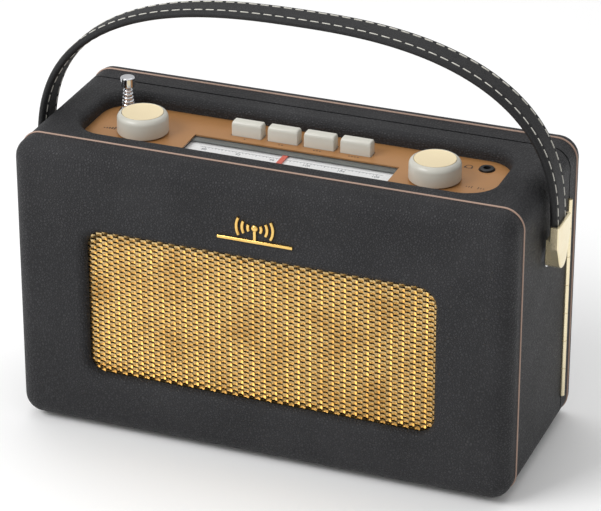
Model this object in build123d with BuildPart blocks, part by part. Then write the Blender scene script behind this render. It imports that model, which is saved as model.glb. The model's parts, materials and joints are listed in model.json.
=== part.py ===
"""Portable tabletop radio: leathercloth cabinet, hinged back, top control panel, carrying handle.

Millimetres. X is the width (right positive), Y runs from front to back, Z is up.
The origin is on the standing surface, below the middle of the cabinet.
"""

from build123d import *
from math import cos, pi, sin
import os

os.makedirs("parts", exist_ok=True)

# ---------------------------------------------------------------- driving dimensions
cabinet_width = 252.0
cabinet_depth = 104.0
cabinet_height = 148.0
corner_radius = 10.0        # outline corners seen from the front
wall = 6.0                  # sides and bottom of the wooden band
top_wall = 6.8              # also the depth of the control recess

foot_height = 2.0
foot_radius = 6.0
foot_inset = 22.0

cover_depth = 14.4          # front cover, front to back
cover_wall = 5.0
cover_rounding = 9.5
piping_width = 1.2
piping_proud = 0.5
piping_reach = 5.0          # how far the piping strip reaches inwards
seam = 1.2                  # gap between the band and the back door
door_rim_depth = 9.8
door_back_depth = 5.4
door_wall = 4.0
door_rounding = 3.2

grille_side_margin = 37.5   # cabinet side to the visible mesh
grille_bottom_margin = 29.8
grille_top_margin = 41.5
grille_corner = 9.0
grille_roll = 4.4           # rounding of the opening's front edge
grille_overlap = 4.0        # mesh hidden behind the opening's edge
mesh_thickness = 0.8
cloth_thickness = 0.6
baffle_thickness = 6.0

emblem_width = 38.0
emblem_height = 13.0
emblem_thickness = 1.2
emblem_above_grille = 16.3  # middle of the emblem above the opening

speaker_radius_margin = 6.0 # rim of the loudspeaker beyond half the opening's height
speaker_rim = 8.0           # flat rim around the cone
speaker_sheet = 1.5
speaker_depth = 20.0
magnet_radius_most = 23.0
magnet_depth = 12.0
voice_radius = 9.0          # middle pole, and the cone's small end
basket_hole = 12.0

recess_side_margin = 21.5
recess_front_margin = 10.3   # from the band's front edge
recess_rear_margin = 11.4   # from the band's rear edge
recess_corner = 15.0
recess_lip = 4.0            # rounding of the recess's upper edge
panel_thickness = 0.8
chassis_thickness = 4.4
chassis_margin = 9.5        # chassis beyond the recess, each side
chassis_front_reach = 3.0
chassis_rear_reach = 5.0

knob_radius = 12.6
knob_height = 10.2
knob_gap = 0.4              # knob above the panel
knob_disc_radius = 10.0
knob_disc_thickness = 0.8
knob_shoulder = 2.2
knob_foot = 0.8
knob_crown = 3.0            # solid plastic above the shaft's bore
shaft_radius = 3.0
volume_from_edge = 27.5     # knob centre from the recess's left edge
tuning_from_edge = 32.5     # knob centre from the recess's right edge
knob_from_front = 21.1      # knob centres from the recess's front edge

dial_knob_gap = 7.4         # dial window to the nearer knob
dial_front_margin = 4.0
dial_rear_margin = 22.0
lens_thickness = 1.2
lens_flange = 0.4           # edge of the lens below the panel
lens_ledge = 0.7            # the flange beyond the window, all round
scale_thickness = 0.9
scale_seat = 2.0            # chassis below the scale
pointer_gap = 0.3           # pointer above the scale
pointer_width = 2.5
pointer_thickness = 0.6
pointer_rest = -3.8
pointer_front_gap = 1.0     # end of the blade to the window's front edge
pointer_arm = 2.0           # the arm behind the window, front to back
arm_gap = 1.0               # arm to the window's rear edge, and to the slot behind it
arm_slot_end = 2.0          # window's end to the slot's end
rail_radius = 1.0
rail_drop = 6.5             # rail's middle below the chassis
rail_foot_width = 4.0
rail_foot_depth = 3.6
rail_foot_wall = 2.5        # foot below the rail's middle
carriage_length = 8.0       # along the rail
carriage_height = 8.4
carriage_wall = 2.2         # from the rail's middle to the carriage's front

button_width = 15.5
button_length = 6.0
button_pitch = 18.6
button_height = 7.2         # cap above the panel
button_travel = 3.0
button_from_rear = 13.2     # button centres from the recess's rear edge
button_count = 4

aerial_from_edge = 11.5
aerial_from_rear = 9.4
aerial_length = 104.0       # one section
aerial_cap_radius = 3.5
aerial_cap_height = 4.6
collar_height = 1.9
aerial_radii = (3.0, 2.3, 1.6, 0.9)
bush_radius = 4.5
bush_height = 1.5           # bush above the panel
bush_tail = 6.0             # bush below the chassis
bead_pitch = 1.85
section_step = 6.0          # each section is this much shorter than the one it slides in

socket_from_edge = 13.0
socket_from_rear = 9.4
socket_hole_radius = 1.8
socket_hole_depth = 14.0
socket_body_radius = 3.9
socket_nut_radius = 3.6
socket_nut_height = 1.0

power_from_rear = 14.0
power_above_bottom = 56.0
power_body_radius = 4.5
power_hole_radius = 1.3
power_hole_depth = 10.0

pivot_drop = 38.0           # pivot axis below the cabinet's top
handle_side_gap = 5.1       # strap's middle line outside the cabinet's side
handle_rise = 87.0          # strap's middle line above its straight legs
handle_leg_drop = 25.0      # top of the straight legs below the cabinet's top
strap_width = 16.8
strap_thickness = 4.3
strap_fullness = 2.55       # exponent of the strap's arch
bracket_width = 19.4
bracket_plate = 1.2
bracket_flange = 4.0
bracket_above_pivot = 18.0
bracket_straight = 11.0     # straight sides below the bracket's mouth
boss_above_pivot = 9.5
bracket_tip_radius = 6.0
pivot_radius = 3.0
washer_radius = 6.5
washer_thickness = 1.2

hinge_barrel_radius = 1.3
hinge_pin_radius = 0.6
hinge_knuckle = 15.2
hinge_bottom = 16.0         # above the cabinet's bottom
hinge_top_margin = 20.0     # at least this far below the cabinet's top
hinge_leaf_width = 12.0
hinge_leaf_thickness = 0.5
hinge_outboard = 0.5        # hinge axis outside the cabinet's side

cell_radius = 7.25
cell_length = 50.5
battery_wall = 1.5

# clearances
running = 0.05              # pins and shafts in their holes, radial
easy = 0.3                  # moving pieces past fixed ones
fit_gap = 0.1               # fixed pieces set into one another
knuckle_gap = 0.2

small_edge = 0.5            # rounding of small pieces' edges
screw_radius = 1.5
screw_head_radius = 3.0
screw_head_height = 2.2

# ---------------------------------------------------------------- places worked out from them
cabinet_bottom = foot_height
cabinet_top = cabinet_bottom + cabinet_height
cabinet_middle = cabinet_bottom + cabinet_height / 2
side = cabinet_width / 2
front = -cabinet_depth / 2
rear = cabinet_depth / 2

cover_back = front + cover_depth
band_front = cover_back + piping_width
door_piping_front = rear - door_back_depth - piping_width
door_front = door_piping_front - door_rim_depth
band_rear = door_front - seam

mesh_front = front + cover_wall
cloth_front = mesh_front + mesh_thickness
baffle_front = cloth_front + cloth_thickness
baffle_back = baffle_front + baffle_thickness
grille_width = cabinet_width - 2 * grille_side_margin
grille_height = cabinet_height - grille_bottom_margin - grille_top_margin
grille_middle = cabinet_bottom + grille_bottom_margin + grille_height / 2

recess_front = band_front + recess_front_margin
recess_rear = band_rear - recess_rear_margin
recess_left = -side + recess_side_margin
recess_right = side - recess_side_margin
panel_top = cabinet_top - top_wall
panel_bottom = panel_top - panel_thickness
chassis_bottom = panel_bottom - chassis_thickness
chassis_front = recess_front - chassis_front_reach
chassis_rear = recess_rear + chassis_rear_reach
chassis_side = recess_right + chassis_margin

knob_y = recess_front + knob_from_front
volume_x = recess_left + volume_from_edge
tuning_x = recess_right - tuning_from_edge
knob_bottom = panel_top + knob_gap
knob_top = knob_bottom + knob_height
button_y = recess_rear - button_from_rear
button_x = [(place - (button_count - 1) / 2) * button_pitch for place in range(button_count)]

dial_half = min(-volume_x, tuning_x) - knob_radius - dial_knob_gap
dial_front = recess_front + dial_front_margin
dial_rear = recess_rear - dial_rear_margin
dial_middle = (dial_front + dial_rear) / 2
dial_length = dial_rear - dial_front
scale_bottom = chassis_bottom + scale_seat
pointer_bottom = scale_bottom + scale_thickness + pointer_gap
arm_front = dial_rear + arm_gap
arm_rear = arm_front + pointer_arm
pointer_slot_rear = arm_rear + arm_gap

rail_y = knob_y + 2.5
rail_z = chassis_bottom - rail_drop
carriage_front = rail_y - carriage_wall
carriage_rear = arm_rear + fit_gap * 2
bank_front = button_y - button_length / 2 - 0.6

drum_radius = 6.0
drum_height = 3.0
drum_top = chassis_bottom - 0.6
cord_gap = easy
cord_width = 0.8
cord_bottom = drum_top - drum_height / 2 - cord_width / 2
post_x = -dial_half - 10.0
board_thickness = 1.6
board_drop = 15.3           # circuit board's top below the chassis
pillar_radius = 3.0
board_top = chassis_bottom - board_drop
board_bottom = board_top - board_thickness
board_left = volume_x - 9.0
board_right = tuning_x + 13.0
board_front = chassis_front + 8.0
board_rear = chassis_rear - 2.0
pillar_x = dial_half - 8.0
pillar_rows = (board_front + 5.0, board_rear - 4.0)
pillar_places = [(sx * pillar_x, y) for sx in (-1, 1) for y in pillar_rows]

aerial_x = recess_left + aerial_from_edge
aerial_y = recess_rear - aerial_from_rear
socket_x = recess_right - socket_from_edge
socket_y = recess_rear - socket_from_rear

power_y = band_rear - power_from_rear
power_z = cabinet_bottom + power_above_bottom

pivot_z = cabinet_top - pivot_drop
leg_top = cabinet_top - handle_leg_drop
leg_x = side + handle_side_gap
hinge_x = side + hinge_outboard
hinge_y = band_rear + seam / 2
hinge_start = cabinet_bottom + hinge_bottom
knuckle_count = int((cabinet_height - hinge_bottom - hinge_top_margin) / hinge_knuckle)
hinge_end = hinge_start + knuckle_count * hinge_knuckle

speaker_radius = grille_height / 2 + speaker_radius_margin
cone_radius = speaker_radius - speaker_rim
magnet_radius = min(magnet_radius_most, cone_radius - 6.0)
cone_edge = cone_radius - 4.2
surround_outer = cone_radius + speaker_sheet
speaker_back = baffle_back + speaker_depth
speaker_axis = Axis((0, 0, grille_middle), (0, 1, 0))


def front_plane(y):
    """A plane facing the front, its own Y axis pointing up."""
    return Plane.XZ.offset(-y)


def write(piece, name):
    """Labels one finished piece and writes it as its own file."""
    piece.label = name
    export_step(piece, f"parts/{name}.step")


def outline_block(y_front, y_back, inset=0.0):
    """The cabinet's outline, taken in by an inset, as a block from one depth to another."""
    with BuildPart() as block:
        with BuildSketch(front_plane(y_back)):
            with Locations((0, cabinet_middle)):
                RectangleRounded(
                    cabinet_width - 2 * inset, cabinet_height - 2 * inset, corner_radius - inset
                )
        extrude(amount=y_back - y_front)
    return block.part


def hinge_rebate():
    """The square channel that the hinge's barrel lies in."""
    with BuildPart() as channel:
        with BuildSketch(Plane.XY.offset(hinge_start - 1)):
            with Locations((hinge_x, hinge_y)):
                Rectangle(2 * (hinge_barrel_radius + 0.4), 2 * (hinge_barrel_radius + 0.4))
        extrude(amount=hinge_end - hinge_start + 2)
    return channel.part


# ---------------------------------------------------------------- cabinet band
with BuildPart() as cabinet_shell:
    add(outline_block(band_front, band_rear))
    with BuildSketch(front_plane(band_rear)):
        with Locations((0, (cabinet_bottom + wall + cabinet_top - top_wall) / 2)):
            RectangleRounded(
                cabinet_width - 2 * wall, cabinet_height - wall - top_wall, corner_radius - wall
            )
    extrude(amount=band_rear - band_front, mode=Mode.SUBTRACT)
    with BuildSketch(Plane.XY.offset(cabinet_top)):
        with Locations((0, (recess_front + recess_rear) / 2)):
            RectangleRounded(recess_right - recess_left, recess_rear - recess_front, recess_corner)
    extrude(amount=-top_wall, mode=Mode.SUBTRACT)
    lip = cabinet_shell.edges(Select.LAST).group_by(Axis.Z)[-1]
    fillet(lip, recess_lip)
    # holes for the handle's studs
    with BuildSketch(Plane.YZ.offset(-side)):
        with Locations((0, pivot_z)):
            Circle(pivot_radius + fit_gap)
    extrude(amount=cabinet_width, mode=Mode.SUBTRACT)
    with BuildSketch(Plane.YZ.offset(-side)):
        with Locations((power_y, power_z)):
            Circle(power_body_radius + fit_gap)
    extrude(amount=wall, mode=Mode.SUBTRACT)
    add(hinge_rebate(), mode=Mode.SUBTRACT)
write(cabinet_shell.part, "cabinet_shell")

# ---------------------------------------------------------------- front cover, grille and baffle
with BuildPart() as front_cover:
    add(outline_block(front, cover_back))
    fillet(front_cover.edges().group_by(Axis.Y)[0], cover_rounding)
    with BuildSketch(front_plane(cover_back)):
        with Locations((0, cabinet_middle)):
            RectangleRounded(
                cabinet_width - 2 * wall, cabinet_height - 2 * wall, corner_radius - wall
            )
    extrude(amount=cover_depth - cover_wall, mode=Mode.SUBTRACT)
    with BuildSketch(front_plane(mesh_front)):
        with Locations((0, grille_middle)):
            RectangleRounded(grille_width, grille_height, grille_corner)
    extrude(amount=cover_wall, mode=Mode.SUBTRACT)
    opening_edges = front_cover.edges(Select.LAST).group_by(Axis.Y)[0]
    fillet(opening_edges, grille_roll)
write(front_cover.part, "front_cover")


def piping_ring(y_front):
    """A strip between two layers, its rounded outer edge standing slightly proud."""
    with BuildPart() as ring:
        add(outline_block(y_front, y_front + piping_width, inset=-piping_proud))
        outer = ring.edges().group_by(Axis.Y)
        fillet(outer[0] + outer[-1], piping_width / 2 - 0.05)
        with BuildSketch(front_plane(y_front + piping_width)):
            with Locations((0, cabinet_middle)):
                RectangleRounded(
                    cabinet_width - 2 * piping_reach,
                    cabinet_height - 2 * piping_reach,
                    corner_radius - piping_reach,
                )
        extrude(amount=piping_width, mode=Mode.SUBTRACT)
    return ring.part


write(piping_ring(cover_back), "front_piping")


def sheet_behind_opening(y_front, thickness, margin):
    """A flat sheet that covers the grille opening and a margin around it."""
    with BuildPart() as sheet:
        with BuildSketch(front_plane(y_front + thickness)):
            with Locations((0, grille_middle)):
                Rectangle(grille_width + 2 * margin, grille_height + 2 * margin)
        extrude(amount=thickness)
    return sheet.part


write(sheet_behind_opening(mesh_front, mesh_thickness, grille_overlap), "grille_mesh")
write(sheet_behind_opening(cloth_front, cloth_thickness, grille_overlap), "grille_cloth")

with BuildPart() as baffle_board:
    with BuildSketch(front_plane(baffle_back)):
        with Locations((0, cabinet_middle)):
            RectangleRounded(
                cabinet_width - 2 * (wall + fit_gap),
                cabinet_height - 2 * (wall + fit_gap),
                corner_radius - wall,
            )
        with Locations((0, grille_middle)):
            Circle(surround_outer + 0.5, mode=Mode.SUBTRACT)
    extrude(amount=baffle_thickness)
write(baffle_board.part, "baffle_board")

# ---------------------------------------------------------------- emblem on the front
with BuildPart() as emblem:
    with BuildSketch(front_plane(front)):
        with Locations((0, grille_middle + grille_height / 2 + emblem_above_grille)):
            SlotOverall(emblem_width, emblem_height)
    extrude(amount=emblem_thickness)
    fillet(emblem.edges().group_by(Axis.Y)[0], small_edge)
write(emblem.part, "emblem")

# ---------------------------------------------------------------- loudspeaker
def speaker_section():
    """The plane through the loudspeaker's axis: its X axis points to the rear, its Y axis up."""
    return Plane(origin=(0, 0, grille_middle), x_dir=(0, 1, 0), z_dir=(1, 0, 0))


def speaker_plane(y):
    """A plane across the loudspeaker's axis, facing the front."""
    return Plane(origin=(0, y, grille_middle), x_dir=(1, 0, 0), z_dir=(0, -1, 0))


with BuildPart() as speaker_basket:
    with BuildSketch(speaker_section()):
        with BuildLine():
            Polyline(
                (baffle_back, surround_outer),
                (baffle_back, speaker_radius),
                (baffle_back + speaker_sheet, speaker_radius),
                (baffle_back + speaker_sheet, cone_radius + 2 * speaker_sheet),
                (speaker_back, magnet_radius),
                (speaker_back, basket_hole),
                (speaker_back - 0.8 * speaker_sheet, basket_hole),
                (speaker_back - 0.8 * speaker_sheet, magnet_radius - 1.0),
                (baffle_back + speaker_sheet, surround_outer),
                close=True,
            )
        make_face()
    revolve(axis=speaker_axis)
write(speaker_basket.part, "speaker_basket")

with BuildPart() as speaker_surround:
    with BuildSketch(speaker_plane(baffle_back)):
        Circle(surround_outer)
        Circle(cone_edge + 2 * fit_gap, mode=Mode.SUBTRACT)
    extrude(amount=-0.8 * speaker_sheet)
write(speaker_surround.part, "speaker_surround")

cone_end = speaker_back - 8.0           # front face of the dust cap at the cone's small end
cone_cap = 2.0
with BuildPart() as speaker_cone:
    with BuildSketch(speaker_section()):
        with BuildLine():
            Polyline(
                (baffle_back, cone_edge),
                (baffle_back, cone_edge - 1.2),
                (cone_end, voice_radius),
                (cone_end, 0),
                (cone_end + cone_cap, 0),
                (cone_end + cone_cap, voice_radius + 1.0),
                close=True,
            )
        make_face()
    revolve(axis=speaker_axis)
write(speaker_cone.part, "speaker_cone")

with BuildPart() as speaker_magnet:
    with BuildSketch(speaker_plane(speaker_back + magnet_depth)):
        Circle(magnet_radius)
    extrude(amount=magnet_depth)
    with BuildSketch(speaker_plane(speaker_back)):
        Circle(voice_radius)
    extrude(amount=5.0)
    chamfer(speaker_magnet.edges().group_by(Axis.Y)[-1], 1.5)
write(speaker_magnet.part, "speaker_magnet")

# ---------------------------------------------------------------- control chassis and panel
dial_wide = 2 * dial_half
pocket_front = dial_front - lens_ledge - fit_gap
scale_front = pocket_front + easy
scale_rear = dial_rear + fit_gap
arm_slot_front = scale_rear + easy


def chassis_outline():
    """The outline that the chassis and the panel share, placed in the current sketch."""
    with Locations((0, (chassis_front + chassis_rear) / 2)):
        Rectangle(2 * chassis_side, chassis_rear - chassis_front)


def chassis_screw_places():
    """The four screws that hold the chassis and the panel to the cabinet's top."""
    x = (recess_right + chassis_side) / 2
    return [(sx * x, y) for sx in (-1, 1) for y in (chassis_front + 12, chassis_rear - 12)]


def control_holes():
    """The holes that the chassis and the panel share, cut from the current sketch."""
    with Locations((volume_x, knob_y), (tuning_x, knob_y)):
        Circle(shaft_radius + easy, mode=Mode.SUBTRACT)
    with Locations((aerial_x, aerial_y)):
        Circle(bush_radius + fit_gap, mode=Mode.SUBTRACT)
    with Locations((socket_x, socket_y)):
        Circle(socket_body_radius + fit_gap, mode=Mode.SUBTRACT)
    with Locations([(x, button_y) for x in button_x]):
        Rectangle(button_width + 2 * easy, button_length + 2 * easy, mode=Mode.SUBTRACT)
    with Locations(chassis_screw_places()):
        Circle(screw_radius + 2 * fit_gap, mode=Mode.SUBTRACT)


with BuildPart() as control_chassis:
    with BuildSketch(Plane.XY.offset(chassis_bottom)):
        chassis_outline()
        control_holes()
    extrude(amount=chassis_thickness)
    # pocket for the dial, and the slot that the pointer's arm travels in
    with BuildSketch(Plane.XY.offset(scale_bottom)):
        with Locations((0, (pocket_front + pointer_slot_rear) / 2)):
            Rectangle(dial_wide + 2 * (lens_ledge + fit_gap), pointer_slot_rear - pocket_front)
    extrude(amount=panel_bottom - scale_bottom, mode=Mode.SUBTRACT)
    with BuildSketch(Plane.XY.offset(chassis_bottom)):
        with Locations((0, (arm_slot_front + pointer_slot_rear) / 2)):
            Rectangle(dial_wide - 2 * arm_slot_end, pointer_slot_rear - arm_slot_front)
    extrude(amount=scale_bottom - chassis_bottom, mode=Mode.SUBTRACT)
    # post that turns the dial cord, and the two ends that hold the pointer's rail
    with BuildSketch(Plane.XY.offset(chassis_bottom)):
        with Locations((post_x, knob_y)):
            Circle(drum_radius)
        for end in (-1, 1):
            with Locations((end * (dial_half + rail_foot_width / 2), rail_y)):
                Rectangle(rail_foot_width, rail_foot_depth)
    extrude(amount=-rail_drop - rail_foot_wall)
    # pillars that carry the circuit board
    with BuildSketch(Plane.XY.offset(board_top)):
        with Locations(pillar_places):
            RegularPolygon(pillar_radius, 6)
    extrude(amount=board_drop)
write(control_chassis.part, "control_chassis")

with BuildPart() as control_panel:
    with BuildSketch(Plane.XY.offset(panel_bottom)):
        chassis_outline()
        control_holes()
        with Locations((0, dial_middle)):
            Rectangle(dial_wide + 4 * fit_gap, dial_length + 4 * fit_gap, mode=Mode.SUBTRACT)
    extrude(amount=panel_thickness)
write(control_panel.part, "control_panel")

with BuildPart() as chassis_screws:
    with BuildSketch(Plane.XY.offset(chassis_bottom)):
        with Locations(chassis_screw_places()):
            Circle(screw_radius)
    extrude(amount=panel_top - chassis_bottom)
    with BuildSketch(Plane.XY.offset(chassis_bottom)):
        with Locations(chassis_screw_places()):
            Circle(screw_head_radius)
    extrude(amount=-screw_head_height)
write(chassis_screws.part, "chassis_screws")

# ---------------------------------------------------------------- dial
with BuildPart() as dial_scale:
    with BuildSketch(Plane.XY.offset(scale_bottom)):
        with Locations((0, (scale_front + scale_rear) / 2)):
            Rectangle(dial_wide + 2 * lens_ledge, scale_rear - scale_front)
    extrude(amount=scale_thickness)
write(dial_scale.part, "dial_scale")

with BuildPart() as dial_lens:
    with BuildSketch(Plane.XY.offset(panel_bottom - lens_flange)):
        with Locations((0, dial_middle)):
            Rectangle(dial_wide + 2 * lens_ledge, dial_length + 2 * lens_ledge)
    extrude(amount=lens_flange)
    with BuildSketch(Plane.XY.offset(panel_bottom)):
        with Locations((0, dial_middle)):
            Rectangle(dial_wide, dial_length)
    extrude(amount=lens_thickness - lens_flange)
    chamfer(dial_lens.edges().group_by(Axis.Z)[-1], 0.3)
write(dial_lens.part, "dial_lens")

blade_front = dial_front + pointer_front_gap
carriage_top = chassis_bottom - 2 * easy
with BuildPart() as dial_pointer:
    # the blade over the scale and the arm that goes down behind it
    with BuildSketch(Plane.XY.offset(pointer_bottom)):
        with Locations((pointer_rest, (blade_front + arm_rear) / 2)):
            Rectangle(pointer_width, arm_rear - blade_front)
    extrude(amount=pointer_thickness)
    with BuildSketch(Plane.XY.offset(carriage_top - small_edge)):
        with Locations((pointer_rest, (arm_front + arm_rear) / 2)):
            Rectangle(pointer_width, pointer_arm)
    extrude(amount=pointer_bottom - carriage_top + small_edge)
    # carriage on the rail
    with BuildSketch(Plane.XY.offset(carriage_top - carriage_height)):
        with Locations((pointer_rest, (carriage_front + carriage_rear) / 2)):
            Rectangle(carriage_length, carriage_rear - carriage_front)
    extrude(amount=carriage_height)
    with BuildSketch(Plane.YZ.offset(pointer_rest - carriage_length / 2)):
        with Locations((rail_y, rail_z)):
            Circle(rail_radius + running)
    extrude(amount=carriage_length, mode=Mode.SUBTRACT)
    # the notch that the dial cord passes through
    with BuildSketch(Plane.YZ.offset(pointer_rest - carriage_length / 2)):
        with Locations((knob_y + drum_radius + cord_gap - easy, cord_bottom + cord_width / 2)):
            Rectangle(3 + easy, cord_width + 2 * easy, align=(Align.MIN, Align.CENTER))
    extrude(amount=carriage_length, mode=Mode.SUBTRACT)
write(dial_pointer.part, "dial_pointer")

with BuildPart() as pointer_rail:
    with BuildSketch(Plane.YZ.offset(-dial_half)):
        with Locations((rail_y, rail_z)):
            Circle(rail_radius)
    extrude(amount=dial_wide)
write(pointer_rail.part, "pointer_rail")


# ---------------------------------------------------------------- knobs and what they turn
def knob(x):
    """A round knob with a soft shoulder, a seat for its disc and a bore for its shaft."""
    with BuildPart() as body:
        with BuildSketch(Plane.XY.offset(knob_bottom)):
            with Locations((x, knob_y)):
                Circle(knob_radius)
        extrude(amount=knob_height)
        fillet(body.edges().group_by(Axis.Z)[-1], knob_shoulder)
        fillet(body.edges().group_by(Axis.Z)[0], knob_foot)
        with BuildSketch(Plane.XY.offset(knob_top)):
            with Locations((x, knob_y)):
                Circle(knob_disc_radius + fit_gap)
        extrude(amount=-knob_disc_thickness, mode=Mode.SUBTRACT)
        with BuildSketch(Plane.XY.offset(knob_bottom)):
            with Locations((x, knob_y)):
                Circle(shaft_radius + fit_gap)
        extrude(amount=knob_height - knob_crown, mode=Mode.SUBTRACT)
    return body.part


def knob_disc(x):
    """The thin disc let into the top of a knob."""
    with BuildPart() as disc:
        with BuildSketch(Plane.XY.offset(knob_top - knob_disc_thickness)):
            with Locations((x, knob_y)):
                Circle(knob_disc_radius)
        extrude(amount=knob_disc_thickness)
    return disc.part


shaft_bottom = board_top + 3.0          # a bearing's floor is 3 mm thick, less the clearance
shaft_top = knob_top - knob_crown - 2 * fit_gap


def shaft(x):
    """A plain spindle from its bearing on the board up into its knob."""
    with BuildPart() as spindle:
        with BuildSketch(Plane.XY.offset(shaft_bottom)):
            with Locations((x, knob_y)):
                Circle(shaft_radius)
        extrude(amount=shaft_top - shaft_bottom)
    return spindle.part


write(knob(volume_x), "volume_knob")
write(knob_disc(volume_x), "volume_knob_disc")
write(shaft(volume_x), "volume_shaft")
write(knob(tuning_x), "tuning_knob")
write(knob_disc(tuning_x), "tuning_knob_disc")

with BuildPart() as tuning_shaft:
    add(shaft(tuning_x))
    with BuildSketch(Plane.XY.offset(drum_top - drum_height)):
        with Locations((tuning_x, knob_y)):
            Circle(drum_radius)
    extrude(amount=drum_height)
write(tuning_shaft.part, "tuning_shaft")

bearing_top = drum_top - drum_height - 0.5
control_radius = 8.0
capacitor_size = 22.0
with BuildPart() as volume_control:
    with BuildSketch(Plane.XY.offset(board_top)):
        with Locations((volume_x, knob_y)):
            Circle(control_radius)
    extrude(amount=bearing_top - 3 - board_top)
    with BuildSketch(Plane.XY.offset(board_top)):
        with Locations((volume_x, knob_y)):
            Circle(shaft_radius + 1.5)
    extrude(amount=bearing_top - board_top)
    with BuildSketch(Plane.XY.offset(shaft_bottom - easy)):
        with Locations((volume_x, knob_y)):
            Circle(shaft_radius + running)
    extrude(amount=bearing_top - shaft_bottom + easy, mode=Mode.SUBTRACT)
write(volume_control.part, "volume_control")

with BuildPart() as tuning_capacitor:
    with BuildSketch(Plane.XY.offset(board_top)):
        with Locations((tuning_x, knob_y)):
            RectangleRounded(capacitor_size, capacitor_size, 2)
    extrude(amount=bearing_top - board_top)
    with BuildSketch(Plane.XY.offset(shaft_bottom - easy)):
        with Locations((tuning_x, knob_y)):
            Circle(shaft_radius + running)
    extrude(amount=bearing_top - shaft_bottom + easy, mode=Mode.SUBTRACT)
write(tuning_capacitor.part, "tuning_capacitor")

with BuildPart() as dial_cord:
    with BuildSketch(Plane.XY.offset(cord_bottom)):
        with Locations(((post_x + tuning_x) / 2, knob_y)):
            for gap, mode in ((cord_gap + cord_width, Mode.ADD), (cord_gap, Mode.SUBTRACT)):
                SlotCenterToCenter(tuning_x - post_x, 2 * (drum_radius + gap), mode=mode)
    extrude(amount=cord_width)
write(dial_cord.part, "dial_cord")

# ---------------------------------------------------------------- buttons and their switches
stem_width = 8.0
stem_length = 3.0
cap_bottom = chassis_bottom + 1.5
bank_top = cap_bottom - button_travel - 0.7
stem_bottom = board_top + 2.0 + button_travel + 0.5


def button(x):
    """A push button: its cap, narrower at the top, and the stem that goes down to its switch."""
    with BuildPart() as key:
        with BuildSketch(Plane.XY.offset(cap_bottom)):
            with Locations((x, button_y)):
                Rectangle(button_width, button_length)
        extrude(amount=panel_top + button_height - cap_bottom)
        top_edges = key.edges().group_by(Axis.Z)[-1]
        chamfer(top_edges.filter_by(Axis.X), length=2.4, length2=1.4)
        fillet(key.edges().filter_by(Axis.Z), small_edge)
        with BuildSketch(Plane.XY.offset(cap_bottom)):
            with Locations((x, button_y)):
                Rectangle(stem_width, stem_length)
        extrude(amount=stem_bottom - cap_bottom)
    return key.part


for number, place in enumerate(button_x, start=1):
    write(button(place), f"button_{number}")

with BuildPart() as switch_bank:
    with BuildSketch(Plane.XY.offset(board_top)):
        with Locations((0, bank_front)):
            Rectangle(
                button_pitch * button_count, 2 * (button_y - bank_front),
                align=(Align.CENTER, Align.MIN),
            )
    extrude(amount=bank_top - board_top)
    with BuildSketch(Plane.XY.offset(board_top + 2.0)):
        with Locations([(x, button_y) for x in button_x]):
            Rectangle(stem_width + 2 * easy, stem_length + 2 * easy)
    extrude(amount=bank_top - board_top - 2.0, mode=Mode.SUBTRACT)
write(switch_bank.part, "switch_bank")

# ---------------------------------------------------------------- circuit board and what it carries
with BuildPart() as circuit_board:
    with BuildSketch(Plane.XY.offset(board_bottom)):
        with Locations(((board_left + board_right) / 2, (board_front + board_rear) / 2)):
            Rectangle(board_right - board_left, board_rear - board_front)
    extrude(amount=board_thickness)
write(circuit_board.part, "circuit_board")

ferrite_y = board_rear - 7.0
ferrite_z = board_bottom - 9.0
ferrite_half = 55.0
ferrite_radius = 4.0
coil_thickness = 1.3
clip_width = 12.0
clip_length = 4.0
clip_from_end = 3.0
tall_row = board_rear - 8.0
tall_height = 9.0
electrolytic_radius = 3.2
can_size = 8.0
chip_length = 16.0
chip_width = 7.0
chip_height = 3.0
chip_places = ((-30.0, 0.0), (20.0, 6.0))
with BuildPart() as board_parts:
    # capacitors and tuned-coil cans above the board, chips below it
    with BuildSketch(Plane.XY.offset(board_top)):
        with Locations([(volume_x + along, tall_row) for along in (13.0, 23.0)]):
            Circle(electrolytic_radius)
        with Locations([(tuning_x - along, tall_row) for along in (12.0, 1.0)]):
            RectangleRounded(can_size, can_size, can_size / 10)
    extrude(amount=tall_height)
    with BuildSketch(Plane.XY.offset(board_bottom)):
        with Locations(*chip_places):
            Rectangle(chip_length, chip_width)
    extrude(amount=-chip_height)
    # the two clips that hang the ferrite rod below the board
    for start in (clip_from_end - ferrite_half, ferrite_half - clip_from_end - clip_length):
        with BuildSketch(Plane.YZ.offset(start)):
            with Locations((ferrite_y, board_bottom)):
                Rectangle(
                    clip_width, board_bottom - ferrite_z + clip_width / 2, align=(Align.CENTER, Align.MAX)
                )
            with Locations((ferrite_y, ferrite_z)):
                Circle(ferrite_radius + fit_gap, mode=Mode.SUBTRACT)
        extrude(amount=clip_length)
write(board_parts.part, "board_parts")

with BuildPart() as ferrite_rod:
    with BuildSketch(Plane.YZ.offset(-ferrite_half)):
        with Locations((ferrite_y, ferrite_z)):
            Circle(ferrite_radius)
    extrude(amount=2 * ferrite_half)
write(ferrite_rod.part, "ferrite_rod")

with BuildPart() as ferrite_coils:
    for start, length in ((-40.0, 24.0), (18.0, 16.0)):
        with BuildSketch(Plane.YZ.offset(start)):
            with Locations((ferrite_y, ferrite_z)):
                Circle(ferrite_radius + fit_gap + coil_thickness)
                Circle(ferrite_radius + fit_gap, mode=Mode.SUBTRACT)
        extrude(amount=length)
write(ferrite_coils.part, "ferrite_coils")

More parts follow.
